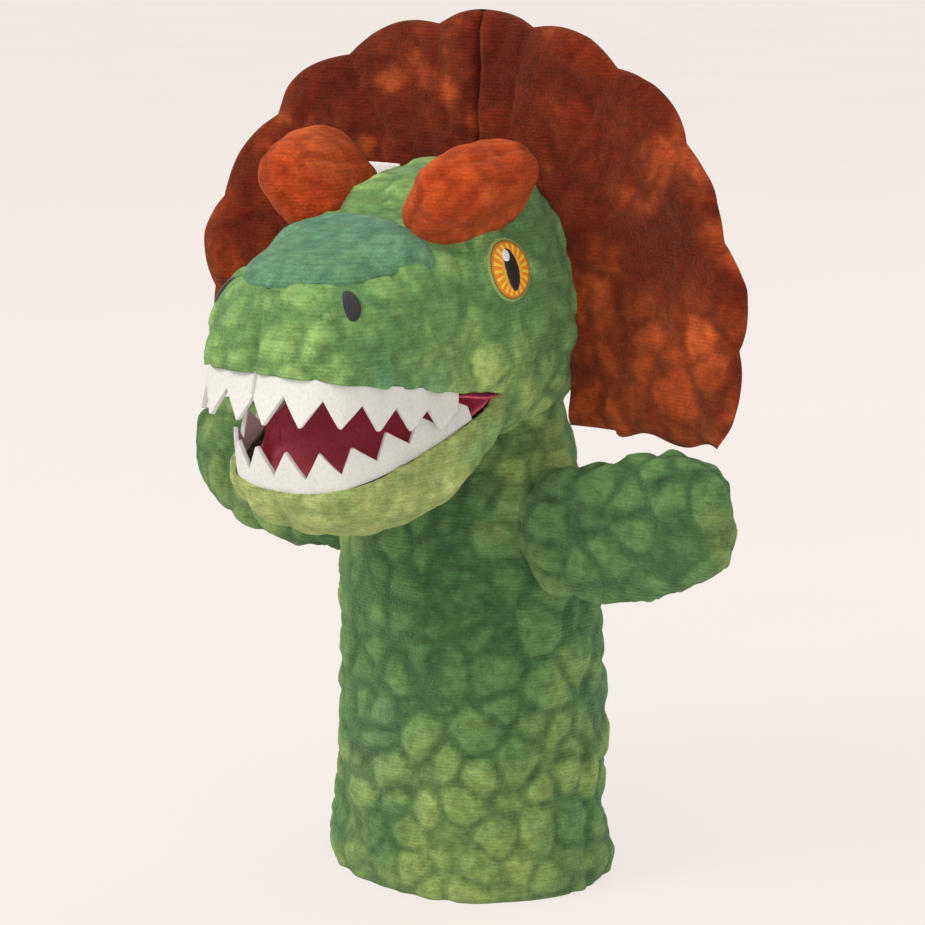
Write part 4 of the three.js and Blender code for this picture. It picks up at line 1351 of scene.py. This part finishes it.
def sew_label():
    """A blank tape behind the far crest, bowed a little."""

    def place(u, v):
        height = LABEL["top"] - LABEL["height"] * (1 - v)
        bow = 1.2 * math.sin(u * math.pi) * (1 - v * 0.4)
        side = LABEL["side"] + (2 * u - 1) * LABEL["half_width"]
        return Vector((side, -LABEL["forward"] - bow, height))

    form = gridded(16, 14, place)
    bmesh.ops.recalc_face_normals(form, faces=form.faces)
    label = finished(form, "care_label_tape", HEAD_FRAME, None, 0.6)
    tape = woven("white_tape", (0.8, 0.8, 0.78), (0.72, 0.72, 0.7), 0.05, 0.6, 1600.0)
    sew_on(label, "head", "tape", tape, "care_label")


def dress_inside():
    """Finishes for the frame parts that stay: pockets, boards and the neck's lining."""
    inner = woven("pocket_cloth", (0.03, 0.09, 0.035), (0.02, 0.06, 0.025), 0.2)
    stiff = woven("stiffener", (0.05, 0.05, 0.055), (0.035, 0.035, 0.04), 0.0, 0.6, 500.0)
    finishes = {
        "neck_lining": inner, "finger_pocket": inner, "thumb_pocket": inner,
        "upper_jaw_board": stiff, "lower_jaw_board": stiff,
    }
    for node, material in finishes.items():
        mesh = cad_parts[node].data
        mesh.materials.clear()
        mesh.materials.append(material)


# ---- Stage ----------------------------------------------------------------------------

CAMERA_TURN = 38
CAMERA_RISE = 12
CAMERA_REACH = 0.95
CAMERA_AIM = Vector((0, 0, 0.15))
CAMERA_LENS = 105
CAMERA_SHIFT = (-0.0092, -0.0124)
CAMERA_SENSOR = 36
STAGE_TINT = (0.913, 0.855, 0.807)
FLOOR_RADIUS = 60
FLOOR_GLOW = 0.84
FLOOR_DARKENED = 0.86
SKY_STRENGTH = 0.96

# Name, place, aim, size and power of each light, with its tint.
LIGHTS = (
    ("key_light", (-0.7, -1.5, 1.5), (0, 0, 0.16), 0.8, 27, (1, 0.98, 0.95)),
    ("fill_light", (1.7, -0.8, 0.7), (0, 0, 0.15), 1.3, 5, (0.96, 0.98, 1)),
    ("front_light", (0.75, -1.25, 0.22), (0, -0.05, 0.17), 0.5, 5, (1, 0.98, 0.96)),
    ("rim_light", (0.4, 1.6, 1.3), (0, 0, 0.2), 1.0, 8, (1, 1, 1)),
)


def set_camera():
    """The camera looks at CAMERA_AIM from a turn round it and a rise over it."""
    turn, rise = math.radians(CAMERA_TURN), math.radians(CAMERA_RISE)
    away = Vector(
        (math.sin(turn) * math.cos(rise), -math.cos(turn) * math.cos(rise), math.sin(rise))
    )
    data = bpy.data.cameras.new("camera")
    data.lens = CAMERA_LENS
    data.sensor_width = CAMERA_SENSOR
    data.shift_x, data.shift_y = CAMERA_SHIFT
    data.clip_start = 0.05
    data.clip_end = 200
    camera = bpy.data.objects.new("camera", data)
    camera.location = CAMERA_AIM + away * CAMERA_REACH
    camera.rotation_euler = (-away).to_track_quat("-Z", "Y").to_euler()
    bpy.context.scene.collection.objects.link(camera)
    bpy.context.scene.camera = camera


def soft_light(name, location, aim, size, power, tint):
    data = bpy.data.lights.new(name, "AREA")
    data.shape = "DISK"
    data.size = size
    data.energy = power
    data.color = tint
    lamp = bpy.data.objects.new(name, data)
    lamp.location = location
    lamp.rotation_euler = (Vector(aim) - Vector(location)).to_track_quat("-Z", "Y").to_euler()
    bpy.context.scene.collection.objects.link(lamp)


def build_stage():
    """A pale floor that runs into a sky of its own colour, four soft lights and the camera."""
    set_camera()
    form = bmesh.new()
    bmesh.ops.create_circle(form, cap_ends=True, segments=96, radius=FLOOR_RADIUS)
    floor = finished(form, "floor")
    floor.data.transform(Matrix.Scale(1 / MM, 4))
    material, tree, shader, place = bare("pale_floor")
    grain = cloudy(tree, place, 3, 2, 0.5)
    tint = mixed(tree, spread(tree, grain, 0.3, 0.7), lit(STAGE_TINT, 0.99), lit(STAGE_TINT, 1.0))
    tree.links.new(mixed(tree, FLOOR_DARKENED, tint, (0, 0, 0, 1)), shader.inputs["Base Color"])
    tree.links.new(tint, shader.inputs["Emission Color"])
    shader.inputs["Emission Strength"].default_value = FLOOR_GLOW
    shader.inputs["Roughness"].default_value = 0.95
    shader.inputs["Specular IOR Level"].default_value = 0.0
    floor.data.materials.append(material)
    world = bpy.data.worlds.new("studio")
    world.use_nodes = True
    sky = world.node_tree.nodes["Background"]
    sky.inputs[0].default_value = (*STAGE_TINT, 1)
    sky.inputs[1].default_value = SKY_STRENGTH
    bpy.context.scene.world = world
    bpy.context.scene.view_settings.view_transform = "Standard"
    for light in LIGHTS:
        soft_light(*light)


# ---- Operators and panel --------------------------------------------------------------


class PUPPET_OT_set_stage(bpy.types.Operator):
    """Camera, pale floor and soft lights"""

    bl_idname = "puppet.set_stage"
    bl_label = "Set the stage"

    def execute(self, context):
        build_stage()
        return {"FINISHED"}


class PUPPET_OT_sew_sleeve(bpy.types.Operator):
    """Sleeve cover, turned-in hem and lining"""

    bl_idname = "puppet.sew_sleeve"
    bl_label = "Sew the sleeve"

    def execute(self, context):
        sew_sleeve()
        return {"FINISHED"}


class PUPPET_OT_sew_collar(bpy.types.Operator):
    """Gathered neck between sleeve and head"""

    bl_idname = "puppet.sew_collar"
    bl_label = "Sew the neck"

    def execute(self, context):
        sew_collar()
        return {"FINISHED"}


class PUPPET_OT_sew_head(bpy.types.Operator):
    """Head skin with its seams and folds"""

    bl_idname = "puppet.sew_head"
    bl_label = "Sew the head"

    def execute(self, context):
        sew_head()
        return {"FINISHED"}


class PUPPET_OT_sew_ridge(bpy.types.Operator):
    """Padded ridge along the snout"""

    bl_idname = "puppet.sew_ridge"
    bl_label = "Sew the snout ridge"

    def execute(self, context):
        sew_ridge()
        return {"FINISHED"}


class PUPPET_OT_sew_jaw(bpy.types.Operator):
    """Chin skin shaped round the opened jaw"""

    bl_idname = "puppet.sew_jaw"
    bl_label = "Sew the jaw"

    def execute(self, context):
        sew_jaw()
        return {"FINISHED"}


class PUPPET_OT_line_mouth(bpy.types.Operator):
    """Wine lining folded at the mouth's corner"""

    bl_idname = "puppet.line_mouth"
    bl_label = "Line the mouth"

    def execute(self, context):
        line_mouth()
        return {"FINISHED"}


class PUPPET_OT_cut_teeth(bpy.types.Operator):
    """Two felt strips with pointed teeth"""

    bl_idname = "puppet.cut_teeth"
    bl_label = "Cut the teeth"

    def execute(self, context):
        cut_teeth()
        return {"FINISHED"}


class PUPPET_OT_embroider_face(bpy.types.Operator):
    """Eyes and nostrils"""

    bl_idname = "puppet.embroider_face"
    bl_label = "Embroider the face"

    def execute(self, context):
        embroider_face()
        return {"FINISHED"}


class PUPPET_OT_stuff_crests(bpy.types.Operator):
    """Two stuffed lobes over the eyes"""

    bl_idname = "puppet.stuff_crests"
    bl_label = "Stuff the crests"

    def execute(self, context):
        stuff_crests()
        return {"FINISHED"}


class PUPPET_OT_stuff_arms(bpy.types.Operator):
    """Two stuffed mitts"""

    bl_idname = "puppet.stuff_arms"
    bl_label = "Stuff the arms"

    def execute(self, context):
        stuff_arms()
        return {"FINISHED"}


class PUPPET_OT_quilt_frill(bpy.types.Operator):
    """Two halves of the scalloped frill"""

    bl_idname = "puppet.quilt_frill"
    bl_label = "Quilt the frill"

    def execute(self, context):
        quilt_frill()
        return {"FINISHED"}


class PUPPET_OT_sew_label(bpy.types.Operator):
    """Blank tape behind a crest"""

    bl_idname = "puppet.sew_label"
    bl_label = "Sew the label"

    def execute(self, context):
        sew_label()
        return {"FINISHED"}


class PUPPET_OT_dress_inside(bpy.types.Operator):
    """Finishes for the hidden parts"""

    bl_idname = "puppet.dress_inside"
    bl_label = "Dress the inside"

    def execute(self, context):
        dress_inside()
        return {"FINISHED"}


STEPS = (
    PUPPET_OT_set_stage, PUPPET_OT_sew_sleeve, PUPPET_OT_sew_collar, PUPPET_OT_sew_head,
    PUPPET_OT_sew_ridge, PUPPET_OT_sew_jaw, PUPPET_OT_line_mouth, PUPPET_OT_cut_teeth,
    PUPPET_OT_embroider_face, PUPPET_OT_stuff_crests, PUPPET_OT_stuff_arms,
    PUPPET_OT_quilt_frill, PUPPET_OT_sew_label, PUPPET_OT_dress_inside,
)


class PUPPET_PT_pieces(bpy.types.Panel):
    """Lists the puppet's pieces and settings"""

    bl_label = "Hand puppet"
    bl_space_type = "VIEW_3D"
    bl_region_type = "UI"
    bl_category = "Puppet"

    def draw(self, context):
        for group in (context.scene.puppet_sizes, context.scene.puppet_colours):
            for key in group.bl_rna.properties.keys():
                if key not in ("rna_type", "name"):
                    self.layout.prop(group, key)
        for operator in STEPS:
            self.layout.operator(operator.bl_idname)


CLASSES = (PuppetSizes, PuppetColours, *STEPS, PUPPET_PT_pieces)


def register():
    for kind in CLASSES:
        bpy.utils.register_class(kind)
    bpy.types.Scene.puppet_sizes = bpy.props.PointerProperty(type=PuppetSizes)
    bpy.types.Scene.puppet_colours = bpy.props.PointerProperty(type=PuppetColours)


def unregister():
    del bpy.types.Scene.puppet_colours
    del bpy.types.Scene.puppet_sizes
    for kind in reversed(CLASSES):
        bpy.utils.unregister_class(kind)


def main():
    register()
    for operator in STEPS:
        getattr(bpy.ops.puppet, operator.bl_idname.split(".")[1])()


if __name__ == "__main__":
    main()
